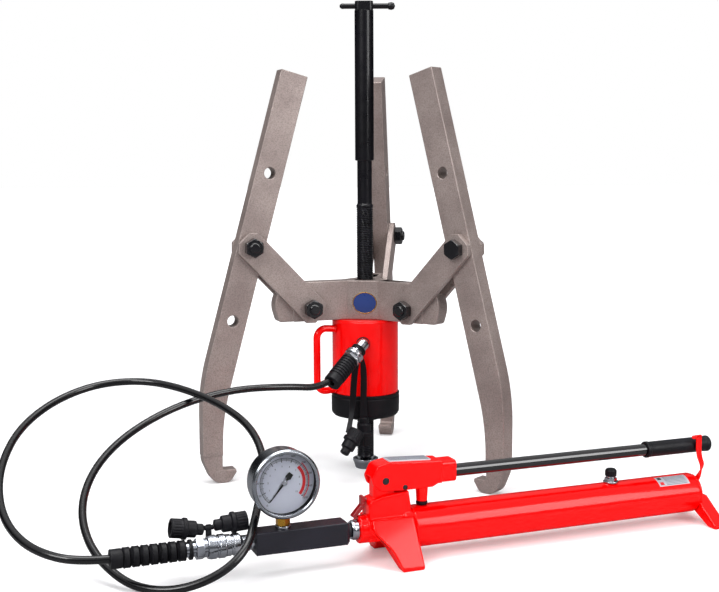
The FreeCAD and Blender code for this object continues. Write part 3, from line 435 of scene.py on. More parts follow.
def knurled(count, depth, bands):
    """Shape with a diamond knurl inside the bands (low, high)."""
    def shape(radius, angle, height):
        if not any(low <= height <= high for low, high in bands):
            return radius
        a = math.cos(angle * count + height * 2.2)
        b = math.cos(angle * count - height * 2.2)
        return radius - depth * max(0.0, 0.5 - 0.5 * max(a, b))
    return shape


def threaded(pitch, depth, low, high, top, starts=1):
    """Shape with a screw thread that fades out at both ends; top is the crest radius."""
    def shape(radius, angle, height):
        if radius < top - 0.01 or not low < height < high:
            return radius
        turns = (height / pitch - starts * angle / (2 * math.pi)) % 1
        wave = max(0.0, min(1.0, (abs(turns - 0.5) - 0.12) / 0.24))
        fade = min(1.0, (height - low) / pitch, (high - height) / pitch)
        return radius - depth * wave * fade
    return shape


def rod(points, radius, place=ORIGIN):
    """Round bar through points in millimetres, with closed ends."""
    curve = bpy.data.curves.new("rod", "CURVE")
    curve.dimensions = "3D"
    spline = curve.splines.new("POLY")
    spline.points.add(len(points) - 1)
    for point, co in zip(spline.points, points):
        point.co = (*co, 1)
    curve.bevel_depth = radius
    curve.bevel_resolution = 8
    curve.use_fill_caps = True
    mesh = baked(linked("rod", curve))
    bpy.data.curves.remove(curve)
    mesh.transform(place)
    return mesh


def loft(sections, place=ORIGIN):
    """Closed skin through sections, which are loops of the same number of points."""
    made = bmesh.new()
    rings = [[made.verts.new(p) for p in section] for section in sections]
    count = len(rings[0])
    for a, b in zip(rings, rings[1:]):
        for k in range(count):
            m = (k + 1) % count
            made.faces.new((a[k], a[m], b[m], b[k]))
    made.faces.new(reversed(rings[0]))
    made.faces.new(rings[-1])
    bmesh.ops.recalc_face_normals(made, faces=made.faces)
    mesh = bpy.data.meshes.new("loft")
    made.to_mesh(mesh)
    made.free()
    mesh.transform(place)
    return mesh


def ribbon(points, across, thick, place=ORIGIN):
    """Flat strap with rounded edges along points; across gives its half width at each point."""
    spine = smooth_line([Vector(p) for p in points], 10)
    widths = smooth_line([Vector(a) for a in across], 10)
    sections = []
    for i, (centre, side) in enumerate(zip(spine, widths)):
        ahead = spine[min(i + 1, len(spine) - 1)] - spine[max(i - 1, 0)]
        out = ahead.cross(side).normalized() * (thick / 2)
        inner = side * (1 - thick / 4 / side.length)
        sections.append([centre + side, centre + inner + out, centre - inner + out,
                         centre - side, centre - inner - out, centre + inner - out])
    return loft(sections, place)


def smooth_line(points, steps):
    """Points on a smooth curve through the given points."""
    line = []
    for i in range(len(points) - 1):
        p0, p1 = points[max(i - 1, 0)], points[i]
        p2, p3 = points[i + 1], points[min(i + 2, len(points) - 1)]
        for k in range(steps):
            t = k / steps
            line.append(0.5 * (2 * p1 + (p2 - p0) * t + (2 * p0 - 5 * p1 + 4 * p2 - p3) * t * t
                               + (3 * p1 - 3 * p2 + p3 - p0) * t ** 3))
    line.append(points[-1])
    return line


def joined(*meshes):
    """One mesh that holds all the given ones."""
    made = bmesh.new()
    for mesh in meshes:
        made.from_mesh(mesh)
    result = bpy.data.meshes.new("joined")
    made.to_mesh(result)
    made.free()
    return result


def boolean(first, others, operation):
    """Exact union, difference or common part of closed meshes."""
    obj = linked("first", first)
    tools = []
    for mesh in others:
        tool = linked("tool", mesh)
        tool.hide_render = True
        tools.append(tool)
        step = obj.modifiers.new("step", "BOOLEAN")
        step.operation = operation
        step.solver = "EXACT"
        step.object = tool
    mesh = baked(obj)
    for tool in tools:
        bpy.data.objects.remove(tool)
    return mesh


def cast(mesh, voxel, smooth):
    """Remeshed and smoothed, so that the parts of a casting run into each other."""
    obj = linked("cast", mesh)
    remesh = obj.modifiers.new("remesh", "REMESH")
    remesh.mode = "VOXEL"
    remesh.voxel_size = voxel
    soften = obj.modifiers.new("soften", "SMOOTH")
    soften.factor = 0.5
    soften.iterations = smooth
    return baked(obj)


def piece(name, mesh, body, material, slot, nodes=(), sharp=34, weighted=True):
    """Object in the shared frame from a mesh in millimetres. It rides on a body and stands for CAD nodes."""
    mesh.name = name
    mesh.transform(MM)
    mesh.materials.clear()
    mesh.materials.append(material)
    mesh.shade_smooth()
    mesh.set_sharp_from_angle(angle=math.radians(sharp))
    obj = linked(name, mesh)
    if weighted:
        weigh = obj.modifiers.new("normals", "WEIGHTED_NORMAL")
        weigh.keep_sharp = True
    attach(obj, body)
    if nodes:
        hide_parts(*nodes)


def stand_in(node, mesh, **settings):
    """Detailed piece that takes one CAD node's place, with its body and finish."""
    slot = SLOT_OF[node]
    piece(node + "_detail", mesh, BODY_OF[node], FINISHES[slot], slot, [node], **settings)


# ---------------------------------------------------------------- hose

HOSE_POINTS = [
    (-33.6, -104.3, 197.3), (-62.1, -139.3, 167.7), (-132, -182, 179), (-213, -214, 180), (-290, -262, 165),
    (-352, -325, 138), (-386, -402, 107), (-390, -480, 71), (-362, -550, 36), (-312, -598, 10),
    (-266, -622, 5), (-222, -627, 11), (-180, -616, 27), (-153, -592, 49), (-147, -556, 71),
    (-146, -513, 80), (-139, -442, 115), (-162, -368, 152), (-216, -300, 175), (-286, -240, 189),
    (-350, -210, 195), (-418, -222, 192), (-472, -274, 177), (-506, -345, 151), (-512, -420, 118),
    (-496, -494, 89), (-462, -564, 67), (-414, -616, 54), (-353.6, -633, 46), (-297.6, -611.5, 46),
]
hose_curve = bpy.data.curves.new("hose_line", "CURVE")
hose_curve.dimensions = "3D"
hose_spline = hose_curve.splines.new("NURBS")
hose_spline.points.add(len(HOSE_POINTS) - 1)
for point, (x, y, z) in zip(hose_spline.points, HOSE_POINTS):
    point.co = (x / 1000, y / 1000, z / 1000, 1)
hose_spline.order_u = 3
hose_spline.use_endpoint_u = True
hose_spline.resolution_u = 16
hose_curve.bevel_depth = 0.0055
hose_curve.bevel_resolution = 8
hose_curve.use_fill_caps = True
hose_curve.materials.append(HOSE)
hose = linked("hose_line", hose_curve)
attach(hose, "base")
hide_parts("hose")


# ---------------------------------------------------------------- crosshead and arms

LEAN = math.radians(15.3)
ARM_UP = Vector((-math.sin(LEAN), math.cos(LEAN)))
ARM_OUT = Vector((math.cos(LEAN), math.sin(LEAN)))
LINK = math.radians(46.2)
LINK_DIR = Vector((math.cos(LINK), math.sin(LINK)))
LINK_SIDE = Vector((-math.sin(LINK), math.cos(LINK)))
LUG_RADIUS, LUG_Z, LINK_LENGTH = 103.9, 287.7, 146.8
ARM_RADIUS = LUG_RADIUS + LINK_LENGTH * math.cos(LINK)
ARM_Z = LUG_Z + LINK_LENGTH * math.sin(LINK)
HEAD_LOW, HEAD_TOP, LUG_END, HUB_FACE = 265.4, 332.0, 166.0, 31.2
FACE = 24.3  # from an arm's middle plane to a bolt head's seat
BOLT_RADIUS, BOLT_FLATS, HEAD_TALL, NUT_TALL = 9, 28, 12, 14


def crosshead_mesh():
    corners = []
    for azimuth in AZIMUTHS.values():
        a, m = math.radians(azimuth), math.radians(azimuth + 60)
        out, across = Vector((math.cos(a), math.sin(a))), Vector((-math.sin(a), math.cos(a)))
        facing, along = Vector((math.cos(m), math.sin(m))), Vector((-math.sin(m), math.cos(m)))
        for point, radius in ((out * 84 - across * 14, 0), (out * 84 + across * 14, 0),
                              (facing * HUB_FACE - along * 26, 8), (facing * HUB_FACE + along * 26, 8)):
            corners.append((point.x, point.y, radius))
    hub = plate([rounded(corners, steps=10), circle(0, 0, 18, 72)], HEAD_LOW, HEAD_TOP, 1.6)
    lugs = []
    for azimuth in AZIMUTHS.values():
        stand = turn(azimuth) @ UPRIGHT
        low, top, end = HEAD_LOW, HEAD_TOP, LUG_END
        web = rounded([(40, low), (134, low, 3), (134, top - 8, 3), (112, top, 14), (40, top)], steps=8)
        nose = rounded([(110, low + 0.5), (end - 7, low + 0.5, 7), (end + 2, low + 30, 40),
                        (end - 6, low + 50, 6), (132, top - 10, 6), (110, top - 10)], steps=8)
        lugs += [plate([web], -14, 14, 1.6, stand), plate([nose], -13, 13, 2.2, stand)]
    return boolean(hub, lugs, "UNION")


stand_in("crosshead", crosshead_mesh(), sharp=30)


def jaw_mesh():
    half, top, foot = 23.5, 296, -ARM_Z
    inner, outer, ledge, tip = 53.5, 87.5, -ARM_Z + 22, 30.5
    tall_inner = (-inner - half * math.cos(LEAN)) / math.sin(LEAN)
    tall_outer = (half * math.cos(LEAN) - outer) / math.sin(LEAN)
    bend_inner = ARM_UP * tall_inner - ARM_OUT * half
    bend_outer = ARM_UP * tall_outer + ARM_OUT * half
    top_inner, top_outer = ARM_UP * top - ARM_OUT * half, ARM_UP * top + ARM_OUT * half
    arm = rounded([(top_inner.x, top_inner.y, 1.5), (top_outer.x, top_outer.y, 1.5),
                   (bend_outer.x, bend_outer.y, 350), (outer, foot + 47), (inner, foot + 47),
                   (bend_inner.x, bend_inner.y, 350)], steps=16)
    holes = [circle(0, 0, 9.2)]
    for way in (126, -126):
        spare = ARM_UP * way
        holes.append(circle(spare.x, spare.y, 9.5, 64))
    bar = plate([arm] + holes, -14, 14, 1.3)
    hook = rounded([(inner + 0.6, foot + 52), (outer - 0.6, foot + 52), (outer - 0.6, foot + 38, 30),
                    (outer - 17, foot, 24), (42, foot, 14), (tip, ledge - 5, 2), (tip + 1, ledge, 1),
                    (inner + 0.6, ledge, 4)], steps=10)
    return boolean(bar, [plate([hook], -12.5, 12.5, 1.3)], "UNION")


def links_mesh():
    reach, corner, half = 21.5, 11, 23.5
    outline = [(-reach, half - corner), (-reach + corner, half), (LINK_LENGTH + reach - corner, half),
               (LINK_LENGTH + reach, half - corner), (LINK_LENGTH + reach, corner - half),
               (LINK_LENGTH + reach - corner, -half), (-reach + corner, -half), (-reach, corner - half)]
    shape = [tuple(LINK_DIR * a + LINK_SIDE * b) for a, b in outline]
    eyes = [circle(*(LINK_DIR * along), 9.1) for along in (0, LINK_LENGTH)]
    return joined(plate([shape] + eyes, 14.2, 24.2, 0.9), plate([shape] + eyes, -24.2, -14.2, 0.9))


def screw_mesh(place):
    """Hexagon bolt and nut; the head is on the -Y side and the screw's domed end is past the nut."""
    stand = place @ BEHIND
    head = joined(hexagon(BOLT_FLATS, -FACE - HEAD_TALL, -FACE - 0.6, 0, stand, (True, False)),
                  lathe([(0, -FACE - 0.8), (13.2, -FACE - 0.8), (13.2, -FACE), (0, -FACE)], stand))
    tail = FACE + NUT_TALL + 4
    shank = lathe([(0, -FACE - 1), (BOLT_RADIUS, -FACE - 1), (BOLT_RADIUS, tail, 2.6), (0, tail)], stand,
                  64, threaded(2.2, 0.9, FACE - 3, tail + 6, BOLT_RADIUS), 0.5)
    nut = hexagon(BOLT_FLATS, FACE, FACE + NUT_TALL, BOLT_RADIUS + 0.06, stand)
    return head, shank, nut


lug_parts = []
for side, azimuth in AZIMUTHS.items():
    pivot = turn(azimuth) @ move(ARM_RADIUS, 0, ARM_Z)
    lug = turn(azimuth) @ move(LUG_RADIUS, 0, LUG_Z)
    jaw, links = jaw_mesh(), links_mesh()
    jaw.transform(pivot @ UPRIGHT)
    links.transform(lug @ UPRIGHT)
    stand_in(side + "_jaw", jaw, sharp=30)
    stand_in(side + "_links", links, sharp=30)
    stand_in(side + "_arm_bolt", joined(*screw_mesh(pivot @ turn(180 if side == "rear" else 0))),
             weighted=False)
    lug_parts.append(screw_mesh(lug @ turn(0 if side == "left" else 180)))
stand_in("lug_bolts", joined(*[mesh for head, shank, nut in lug_parts for mesh in (head, shank)]),
         weighted=False)
stand_in("lug_nuts", joined(*[nut for head, shank, nut in lug_parts]), weighted=False)


# ---------------------------------------------------------------- ram and spindle

stand_in("ram_body", lathe([
    (17, 116), (20, 116), (20, 240), (42, 240), (42, 97), (54.5, 97, 1), (54.5, 136.5),
    (57, 136.5, 1.2), (57, 262, 0.8), (55.6, 263.2, 0.6), (55.6, 265.2, 1.2), (17, 265.2),
], sides=144, ring=True))
handle_turn = turn(205)
bar = rounded([(57.3, 249), (91, 252, 16), (91, 141, 16), (57.3, 144)], closed=False, steps=10)
welds = [lathe([(6.1, -0.2), (7.7, -0.2, 0.8), (7, 2.2, 0.8), (6.1, 3)],
               handle_turn @ move(57, 0, z) @ turn(90, "Y"), 48, ring=True) for z in (249.1, 144.1)]
stand_in("ram_handle", joined(rod([(r, 0, z) for r, z in bar], 6, handle_turn), *welds), weighted=False)


def dented(radius, angle, height):
    """Rubber sleeve with shallow dents on its outside."""
    if radius < 56:
        return radius
    spot = Vector((math.cos(angle) * 1.6, math.sin(angle) * 1.6, height / 22))
    return radius - 0.9 * max(0.0, noise.noise(spot)) ** 1.5 * 2


stand_in("ram_protector", lathe([
    (54.8, 136.2), (54.8, 96.7), (38, 96.7), (38, 95.6), (59, 95.6, 9), (59, 104.5), (59, 129),
    (58.3, 130), (58.3, 131.5), (59, 132.5), (59, 136.2, 1),
], sides=144, shape=dented, step=2.5, ring=True))
stand_in("spindle_screw", lathe([
    (0, 8), (5.5, 8), (5.5, 20), (14.5, 20, 1.5), (14.5, 459, 1), (12.5, 462), (12.5, 575), (0, 575),
], ORIGIN, 64, threaded(3, 1.4, 22, 457, 14.5, 2), 0.42), weighted=False)
SLEEVE_RADIUS = 16
flat = SLEEVE_RADIUS * 0.96
square = rounded([(-flat, -flat, 7), (flat, -flat, 7), (flat, flat, 7), (-flat, flat, 7)], steps=8)
sleeve = lathe([
    (0, 570), (12.55, 570), (12.55, 535), (14.8, 535), (SLEEVE_RADIUS, 536.2), (SLEEVE_RADIUS, 786.2),
    (0, 786.2),
], sides=128)
sleeve_head = plate([square], 785.2, 800.9, 1.3)
stand_in("spindle_sleeve", joined(sleeve, sleeve_head))
stand_in("tommy_bar", lathe([
    (0, -41.1), (2.4, -40.6, 1), (4.6, -37.5, 2.5), (4.6, -35, 1), (4.4, -33), (4.5, 40.6),
    (5.6, 41.2, 0.4), (6.5, 46, 3), (5.2, 50.6, 2.2), (0, 52.5),
], move(0, 0, 793.3) @ ALONG, 64))
stand_in("spindle_tip", lathe([
    (0, 0), (17.5, 0, 1.5), (20, 8, 6), (22, 12.8, 0.5), (22, 17, 0.8), (19, 17, 0.8), (12.5, 9.5),
    (5.6, 9.5), (5.6, 7.7), (0, 7.7),
], sides=112))


# ---------------------------------------------------------------- ram coupler, straps and dust caps

port = pointing((0, -1, 0), (ELBOW.x, -57.3, ELBOW.z))
stand_in("ram_elbow", joined(
    lathe([(0, 0), (11.5, 0, 0.5), (11.5, 3.2, 0.6), (10.4, 3.8), (10.4, 11.5), (0, 11.5)], port, 64),
    lathe([(0, -10.7), (0.5, -10.69), (5, -9.46), (8.5, -6.5), (10.4, -2.5), (10.7, 1), (10.6, 4), (10.5, 8),
           (10.5, 19.2, 0.6), (9.9, 20.3, 0.4), (9, 20.5), (9, 34), (0, 34)], COUPLER, 64)))
piece("port_ring", lathe([
    (9, 3.4), (11.9, 3.4, 0.8), (11.9, 6.6, 0.8), (9, 6.6),
], port, 64, ring=True), "base", RUBBER, "black_rubber")
stand_in("ram_coupler_collar", lathe([
    (9.1, 22.6), (13.2, 22.6, 1), (16, 25.5), (16, 27), (15, 28), (16, 29), (16, 32.3, 1), (14, 34),
    (9.1, 34),
], COUPLER, 120, knurled(34, 0.3, [(29.2, 32)]), 0.7, ring=True), weighted=False)
stand_in("ram_hose_nut", hexagon(26, 34.3, 40.3, 9.2, COUPLER), weighted=False)


def ribbed(start, end, outer, depth, ribs, bore, tail):
    """Sleeve profile (radius, along) with soft ribs, then a plain tail."""
    pitch = (end - start - tail) / ribs
    corners = [(bore, start), (outer - depth, start)]
    for i in range(ribs):
        low = start + pitch * i
        corners += [(outer, low + pitch * 0.14, pitch * 0.14), (outer, low + pitch * 0.74, pitch * 0.16),
                    (outer - depth, low + pitch * 0.9)]
    return corners + [(outer - depth, end - tail), (outer - 0.5, end - tail + 0.6, 0.4),
                      (outer - 0.5, end - 1, 0.6), (outer - 1.5, end), (bore, end)]


stand_in("ram_restrictor", lathe(ribbed(40.6, 98, 15, 1.9, 8, 5.6, 14), COUPLER, 72, ring=True),
         weighted=False)

straps = [
    ribbon([(-6.6, -71.9, 210.2), (-3.6, -70.4, 188), (-3, -69, 160), (-3.8, -68.8, 130), (-3, -70.4, 105)],
           [(2.4, 0, 0), (5, 0, 0), (5.5, 0.3, 0), (5.5, -0.3, 0), (6.4, 0, 0)], 2),
    ribbon([(-8.6, -74.2, 207.8), (-17, -72.2, 186), (-20, -72, 158), (-22, -73.4, 126), (-25, -79, 104),
            (-29.5, -88.5, 82)],
           [(2.6, 0, 0), (5, 0.3, 0), (5.5, -0.3, 0), (5, -0.6, 0), (4.2, -1.4, 0), (4.6, -1.5, 0)], 2),
]
bands = [lathe([(10.6, at), (12.9, at, 0.6), (12.9, at + 3, 0.6), (10.6, at + 3)], COUPLER, 72, ring=True)
         for at in (12.4, 16.8)]
stand_in("ram_cap_straps", joined(*straps, *bands), weighted=False)


def cap_mesh(place, scale):
    """Rubber dust cap: open fluted mouth, stepped body and a solid nipple."""
    return lathe([(8, 0), (11, 0, 1), (11, 13), (12.3, 14, 0.5), (12.3, 18, 0.5), (9.5, 19),
                  (9.5, 29, 1.5), (6.5, 30), (6.5, 38, 2), (0, 38), (0, 13), (8, 13), (8, 0)],
                 place @ Matrix.Scale(scale, 4), 96, fluted(20, 0.6, 1.5, 12.5), 1.2)


stand_in("ram_caps", joined(cap_mesh(pointing((0, 0, 1), (-3, -69.5, 57)), 1.25),
                            cap_mesh(pointing((-0.5, -0.42, -0.76), (-14, -98, 87)), 1.2)), weighted=False)


# ---------------------------------------------------------------- pump

def leg_outline(top_half, top):
    """Splayed pair of feet seen along the tank."""
    return rounded([(-top_half, top), (-61.5, 5, 3), (-60, 0), (-44, 0, 2), (-10, 0.42 * top, 8),
                    (10, 0.42 * top, 8), (44, 0, 2), (60, 0), (61.5, 5, 3), (top_half, top)], steps=6)


column = rounded([(-44, 30), (-44, 86, 5), (-26, 91, 20), (13, 95.4, 1), (16, 76, 12), (16, 30)], steps=8)
tongue = rounded([(-36, 80), (-36, 127, 15), (-6, 127, 15), (-6, 80)], steps=10)
taper = rounded([(-13, -3), (18, -3), (18, 64), (-44, 64), (-44, 50, 12), (-24, 26, 22)], steps=8)
head_parts = [
    plate([column], -16, 16, 3, UPRIGHT),
    plate([tongue], -8.8, 8.8, 0.8, UPRIGHT),
    lathe([(0, -56.5), (18, -56.5), (19, -55.5), (19, -26), (0, -26)], move(0, 0, 46) @ ALONG, 72),
    boolean(plate([leg_outline(24, 62)], -43.6, 17, 2.4, ALONG), [plate([taper], -70, 70, 1, UPRIGHT)],
            "INTERSECT"),
    lathe([(0, 4), (28, 4), (29.4, 5.5), (29.4, 18.5), (28.8, 20), (0, 20)], move(0, 0, 41.5) @ ALONG, 96),
]
head_mesh = cast(boolean(head_parts[0], head_parts[1:], "UNION"), 0.9, 7)
head_mesh.transform(PUMP)
stand_in("pump_head", head_mesh, weighted=False, sharp=60)

TANK_END, TANK_RADIUS = 476, 28.75
stand_in("pump_tank", lathe([
    (0, 20.1), (28.2, 20.1, 0.4), (TANK_RADIUS, 21.4), (TANK_RADIUS, TANK_END - 12),
    (TANK_RADIUS, TANK_END, 2.5), (0, TANK_END),
], TANK @ ALONG, 160))
foot_parts = [
    lathe([(0, 476.3), (26, 476.3), (27, 477.3), (27, 480.3), (0, 480.3)], move(0, 0, 41.5) @ ALONG, 96),
    plate([leg_outline(13, 38)], 476.3, 498.3, 2.4, ALONG),
]
foot_mesh = cast(boolean(foot_parts[0], foot_parts[1:], "UNION"), 0.8, 6)
foot_mesh.transform(PUMP)
stand_in("rear_foot", foot_mesh, weighted=False, sharp=60)

cheeks = rounded([(-41, 116, 3), (-33, 133, 10), (-14, 137, 12), (62, 133, 3), (62, 101), (56, 101, 4),
                  (48, 97, 4), (4, 96.3, 9), (-12, 97.6, 4), (-27, 97.5, 8), (-38, 106, 6)], steps=8)
channel = rounded([(-60, 80), (-60, 110), (-40, 117), (-31, 129, 5), (-14, 131, 5), (28, 129, 4),
                   (28, 80)])
socket = rounded([(-15, 101, 6), (15, 101, 6), (15, 131, 6), (-15, 131, 6)], steps=8)
lever = boolean(plate([cheeks], -16, 16, 2.2, UPRIGHT), [
    plate([socket], 50, 84, 1.8, ALONG),
    lathe([(0, 75.8), (7.5, 75.8), (8.9, 99), (0, 99)], move(38, 0, 0), 48)], "UNION")
lever = boolean(lever, [plate([channel], -9.2, 9.2, 0.3, UPRIGHT)], "DIFFERENCE")
lever = cast(lever, 0.8, 6)
lever.transform(PUMP)
stand_in("pump_lever", lever, weighted=False, sharp=60)
stand_in("lever_bumper", lathe([
    (0, 70.8), (7.7, 70.8, 1.2), (8.1, 75.4, 0.8), (0, 75.4),
], PUMP @ move(38, 0, 0), 64))
for node, x, z, radius in (("lever_pin", -21, 112, 5.2), ("piston_pin", 7, 101, 3.9)):
    stand_in(node, lathe([(0, -17), (radius - 1.6, -17, 0.3), (radius, -15.8), (radius, 15.8),
                          (radius - 1.6, 17, 0.3), (0, 17)], PUMP @ move(x, 0, z) @ BEHIND, 64))
stand_in("handle_tube", lathe([
    (6.8, 52), (8.75, 52), (8.75, 500), (6.8, 500),
], HANDLE @ ALONG, 96, ring=True))


def pebbled(radius, angle, height):
    """Moulded grip with small raised pebbles."""
    if radius < 11 or not 403 < height < 496:
        return radius
    spot = Vector((math.cos(angle) * 12, math.sin(angle) * 12, height)) * 0.85
    return radius - 0.35 * max(0.0, noise.noise(spot) + 0.15)


stand_in("handle_grip", lathe([
    (8.85, 395), (12, 395, 0.8), (12, 400, 1), (11.3, 401), (11.3, 498), (11.8, 499), (11.8, 506, 3),
    (0, 506), (0, 502), (8.85, 502), (8.85, 395),
], HANDLE @ ALONG, 96, pebbled, 1.1), weighted=False)
filler = PUMP @ move(338, 0, 0)
stand_in("filler_cap", joined(
    lathe([(0, 70.4), (11, 70.4, 0.5), (11, 72.6, 0.6), (8, 73), (0, 73)], filler, 96),
    hexagon(15.6, 72.8, 77.6, 0, filler, (False, True)),
    lathe([(0, 77), (6, 77), (6, 80.2), (0, 80.2)], filler, 64)), weighted=False)
piece("filler_knob", lathe([
    (0, 79.4), (7.6, 79.6, 0.6), (8.4, 80.6, 0.6), (8.4, 87.6, 1.6), (6.4, 90.4, 1), (0, 90.4),
], filler, 96, fluted(18, 0.7, 80.8, 87.4), 0.8), "filler_cap", RUBBER, "black_rubber", weighted=False)
stand_in("hook_bolt", lathe([
    (0, 476.8), (3.5, 476.8), (3.5, 484.1), (6.5, 484.1, 0.5), (6.5, 487.5, 1.5), (2.2, 487.5),
    (2.2, 486), (0, 486),
], PUMP @ move(0, 0, 50) @ ALONG, 64))
blade = rounded([(-47, 92, 2), (-47, 77, 3), (-60, 63, 1.5), (-66, 64.5, 1.5), (-52, 80, 4), (-52, 92, 2)],
                steps=6)
valve = joined(plate([blade], -5, 5, 1.2, UPRIGHT),
               lathe([(0, -48.5), (4, -48.5), (4, -44.2), (0, -44.2)], move(0, 0, 86) @ ALONG, 40))
valve.transform(PUMP)
stand_in("release_valve", valve)

BACK = TANK_END + 6.2
hook_plate = ribbon(
    [(BACK, 0, 42.2), (BACK, 0, 50), (BACK, -2.5, 58), (BACK + 1.4, -9, 66), (BACK + 3, -13.2, 76),
     (BACK + 3.2, -15, 86), (BACK - 1.2, -15.2, 98), (BACK - 3.2, -15.2, 110), (BACK - 3.4, -15.2, 122),
     (BACK - 4.4, -15.2, 131)],
    [(0, 6.5, 0), (0, 8, 0), (0, 7.6, 0), (0.8, 5.4, 0), (2.4, 3.4, 0), (4.2, 1.4, 0), (4.6, 0.2, 0),
     (4.6, 0, 0), (4.8, 0, 0), (5.6, 0, 0)], 2.8, PUMP)
hook_tab = plate([rounded([(BACK - 15.4, 126, 2), (BACK + 0.4, 126, 1), (BACK + 0.4, 131, 2),
                           (BACK - 15.4, 131, 2)])], 13.8, 16.6, 0.8, PUMP @ UPRIGHT)
stand_in("handle_hook", joined(hook_plate, hook_tab), weighted=False)


# ---------------------------------------------------------------- line fittings, gauge block and gauge

stand_in("outlet_fitting", lathe([
    (0, -66.3), (12, -66.3, 0.8), (13.5, -63, 0.8), (13.5, -56.8, 0.8), (0, -56.8),
], LINE @ ALONG, 96, fluted(36, 0.25, -62.4, -58), 0.6), weighted=False)
sections = []
for x, half in ((-200, 14.2), (-199.2, 15), (-75, 15), (-71.2, 12), (-71, 11.6)):
    sections.append([Vector((x, y, z)) for y, z in rounded(
        [(-half, -half, 1.5), (half, -half, 1.5), (half, half, 1.5), (-half, half, 1.5)], steps=4)])
stand_in("gauge_block", joined(
    loft(sections, LINE),
    lathe([(0, -72), (9.5, -72), (9.5, -66.9, 0.6), (0, -66.9)], LINE @ ALONG, 64)), sharp=28)
ABOVE = 61
stem = PUMP @ move(GAUGE_X, 0, 0)
stand_in("gauge_nut", lathe([
    (6.2, ABOVE + 0.2), (10.5, ABOVE + 0.2, 0.4), (10.5, ABOVE + 3.4, 0.8), (6.2, ABOVE + 3.4),
], stem, 72, ring=True))
stand_in("gauge_adaptor", joined(
    lathe([(0, ABOVE - 8), (6, ABOVE - 8), (6, ABOVE + 4), (0, ABOVE + 4)], stem, 48),
    hexagon(17, ABOVE + 3.6, ABOVE + 16.9, 0, stem)), weighted=False)
stand_in("gauge_case", lathe([
    (0, -16), (44, -16, 3), (44, 12.6, 0.5), (42.6, 12.6), (42.6, -13.6), (0, -13.6),
], GAUGE, 144))
stand_in("gauge_bezel", lathe([
    (40.2, 17.9), (40.2, 19.4), (41.4, 20.5, 0.8), (43.6, 20.5, 1.2), (46, 17.6, 2.5), (46, 12.9, 1),
    (42.7, 12.9), (42.7, 17.9),
], GAUGE, 160, ring=True))
stand_in("gauge_dial", lathe([(2.6, 5.8), (41.8, 5.8), (41.8, 7), (2.6, 7)], GAUGE, 128, ring=True))
stand_in("gauge_lens", lathe([(0, 15.6), (42.4, 15.6), (42.4, 17.6), (0, 17.6)], GAUGE, 128))


DIAL_FACE = 7.0
INK_DEEP = 0.12


def on_dial(radius, degrees, height=DIAL_FACE):
    a = math.radians(degrees)
    return Vector((radius * math.cos(a), radius * math.sin(a), height))


def arc_band(inner, outer, start, end, deep):
    """Flat band printed on the dial between two angles."""
    count = 40
    angles = [start + (end - start) * k / count for k in range(count + 1)]
    high = DIAL_FACE + deep
    return loft([[on_dial(inner, a), on_dial(outer, a), on_dial(outer, a, high), on_dial(inner, a, high)]
                 for a in angles], GAUGE)


START, SWEEP, TOP_NUMBER = 231.0, -270.0, 10
TICK_RADIUS = 32.2
RED_FROM, RED_TO = 45, -39
ticks = []
for k in range(101):
    degrees = START + SWEEP * k / 100
    length, wide = (5.2, 0.5) if k % 10 == 0 else (4.2, 0.32) if k % 5 == 0 else (3.4, 0.22)
    if degrees < RED_FROM + 5:
        length = 2.2
    side = on_dial(1, degrees + 90, 0).normalized() * wide
    near, far = on_dial(TICK_RADIUS - length, degrees), on_dial(TICK_RADIUS, degrees)
    lift = Vector((0, 0, INK_DEEP))
    ticks.append(loft([[near - side, near + side, near + side + lift, near - side + lift],
                       [far - side, far + side, far + side + lift, far - side + lift]], GAUGE))
piece("dial_ticks", joined(*ticks), "base", INK, "pointer_black", sharp=30, weighted=False)
piece("dial_ring", arc_band(TICK_RADIUS, TICK_RADIUS + 0.5, START, START + SWEEP, INK_DEEP),
      "base", INK, "pointer_black")
red_arcs = [arc_band(inner, outer, RED_FROM, RED_TO, 0.14)
            for inner, outer in ((25.2, 29.4), (33.2, 34.6))]
piece("dial_red_arcs", joined(*red_arcs), "base", DIAL_RED, "dial_white")


def number_mesh(text, size, place):
    curve = bpy.data.curves.new("number", "FONT")
    curve.body = text
    curve.size = size
    curve.align_x, curve.align_y = "CENTER", "CENTER"
    curve.extrude = 0.05
    curve.resolution_u = 3
    mesh = baked(linked("number", curve))
    bpy.data.curves.remove(curve)
    mesh.transform(place)
    return mesh


numbers = []
for k in range(TOP_NUMBER + 1):
    degrees = START + SWEEP * k / TOP_NUMBER
    for text, size, radius in ((str(k * 100), 3.8, 36.4), (str(k), 3.4, 21.6)):
        middle = on_dial(radius, degrees, DIAL_FACE + INK_DEEP / 2)
        numbers.append(number_mesh(text, size, GAUGE @ Matrix.Translation(middle)))
piece("dial_numbers", joined(*numbers), "base", INK, "pointer_black", sharp=30, weighted=False)

aim = math.radians(START)
ahead, beside = Vector((math.cos(aim), math.sin(aim))), Vector((-math.sin(aim), math.cos(aim)))
half = [(31, 0.35), (3, 1.4), (-5, 1.4), (-8, 4.2), (-15, 3.4)]
outline = half + [(a, -b) for a, b in reversed(half)]
needle = [tuple(ahead * a + beside * b) for a, b in outline]
pointer = joined(plate([needle], 8.4, 9.2, 0.12),
                 lathe([(0, -13.2), (2.5, -13.2), (2.5, 9.6, 0.4), (0, 9.6)], sides=40))
pointer.transform(GAUGE)
stand_in("gauge_pointer", pointer)
piece("pointer_hub", lathe([
    (0, 9.1), (3.4, 9.1), (3.4, 10.1, 0.4), (0, 10.3),
], GAUGE, 48), "gauge_pointer", BRIGHT, "bright_steel")
piece("dial_gasket", lathe([
    (40.9, 7.1), (42.4, 7.1), (42.4, 15.4), (40.9, 15.4),
], GAUGE, 128, ring=True), "base", RUBBER, "black_rubber")

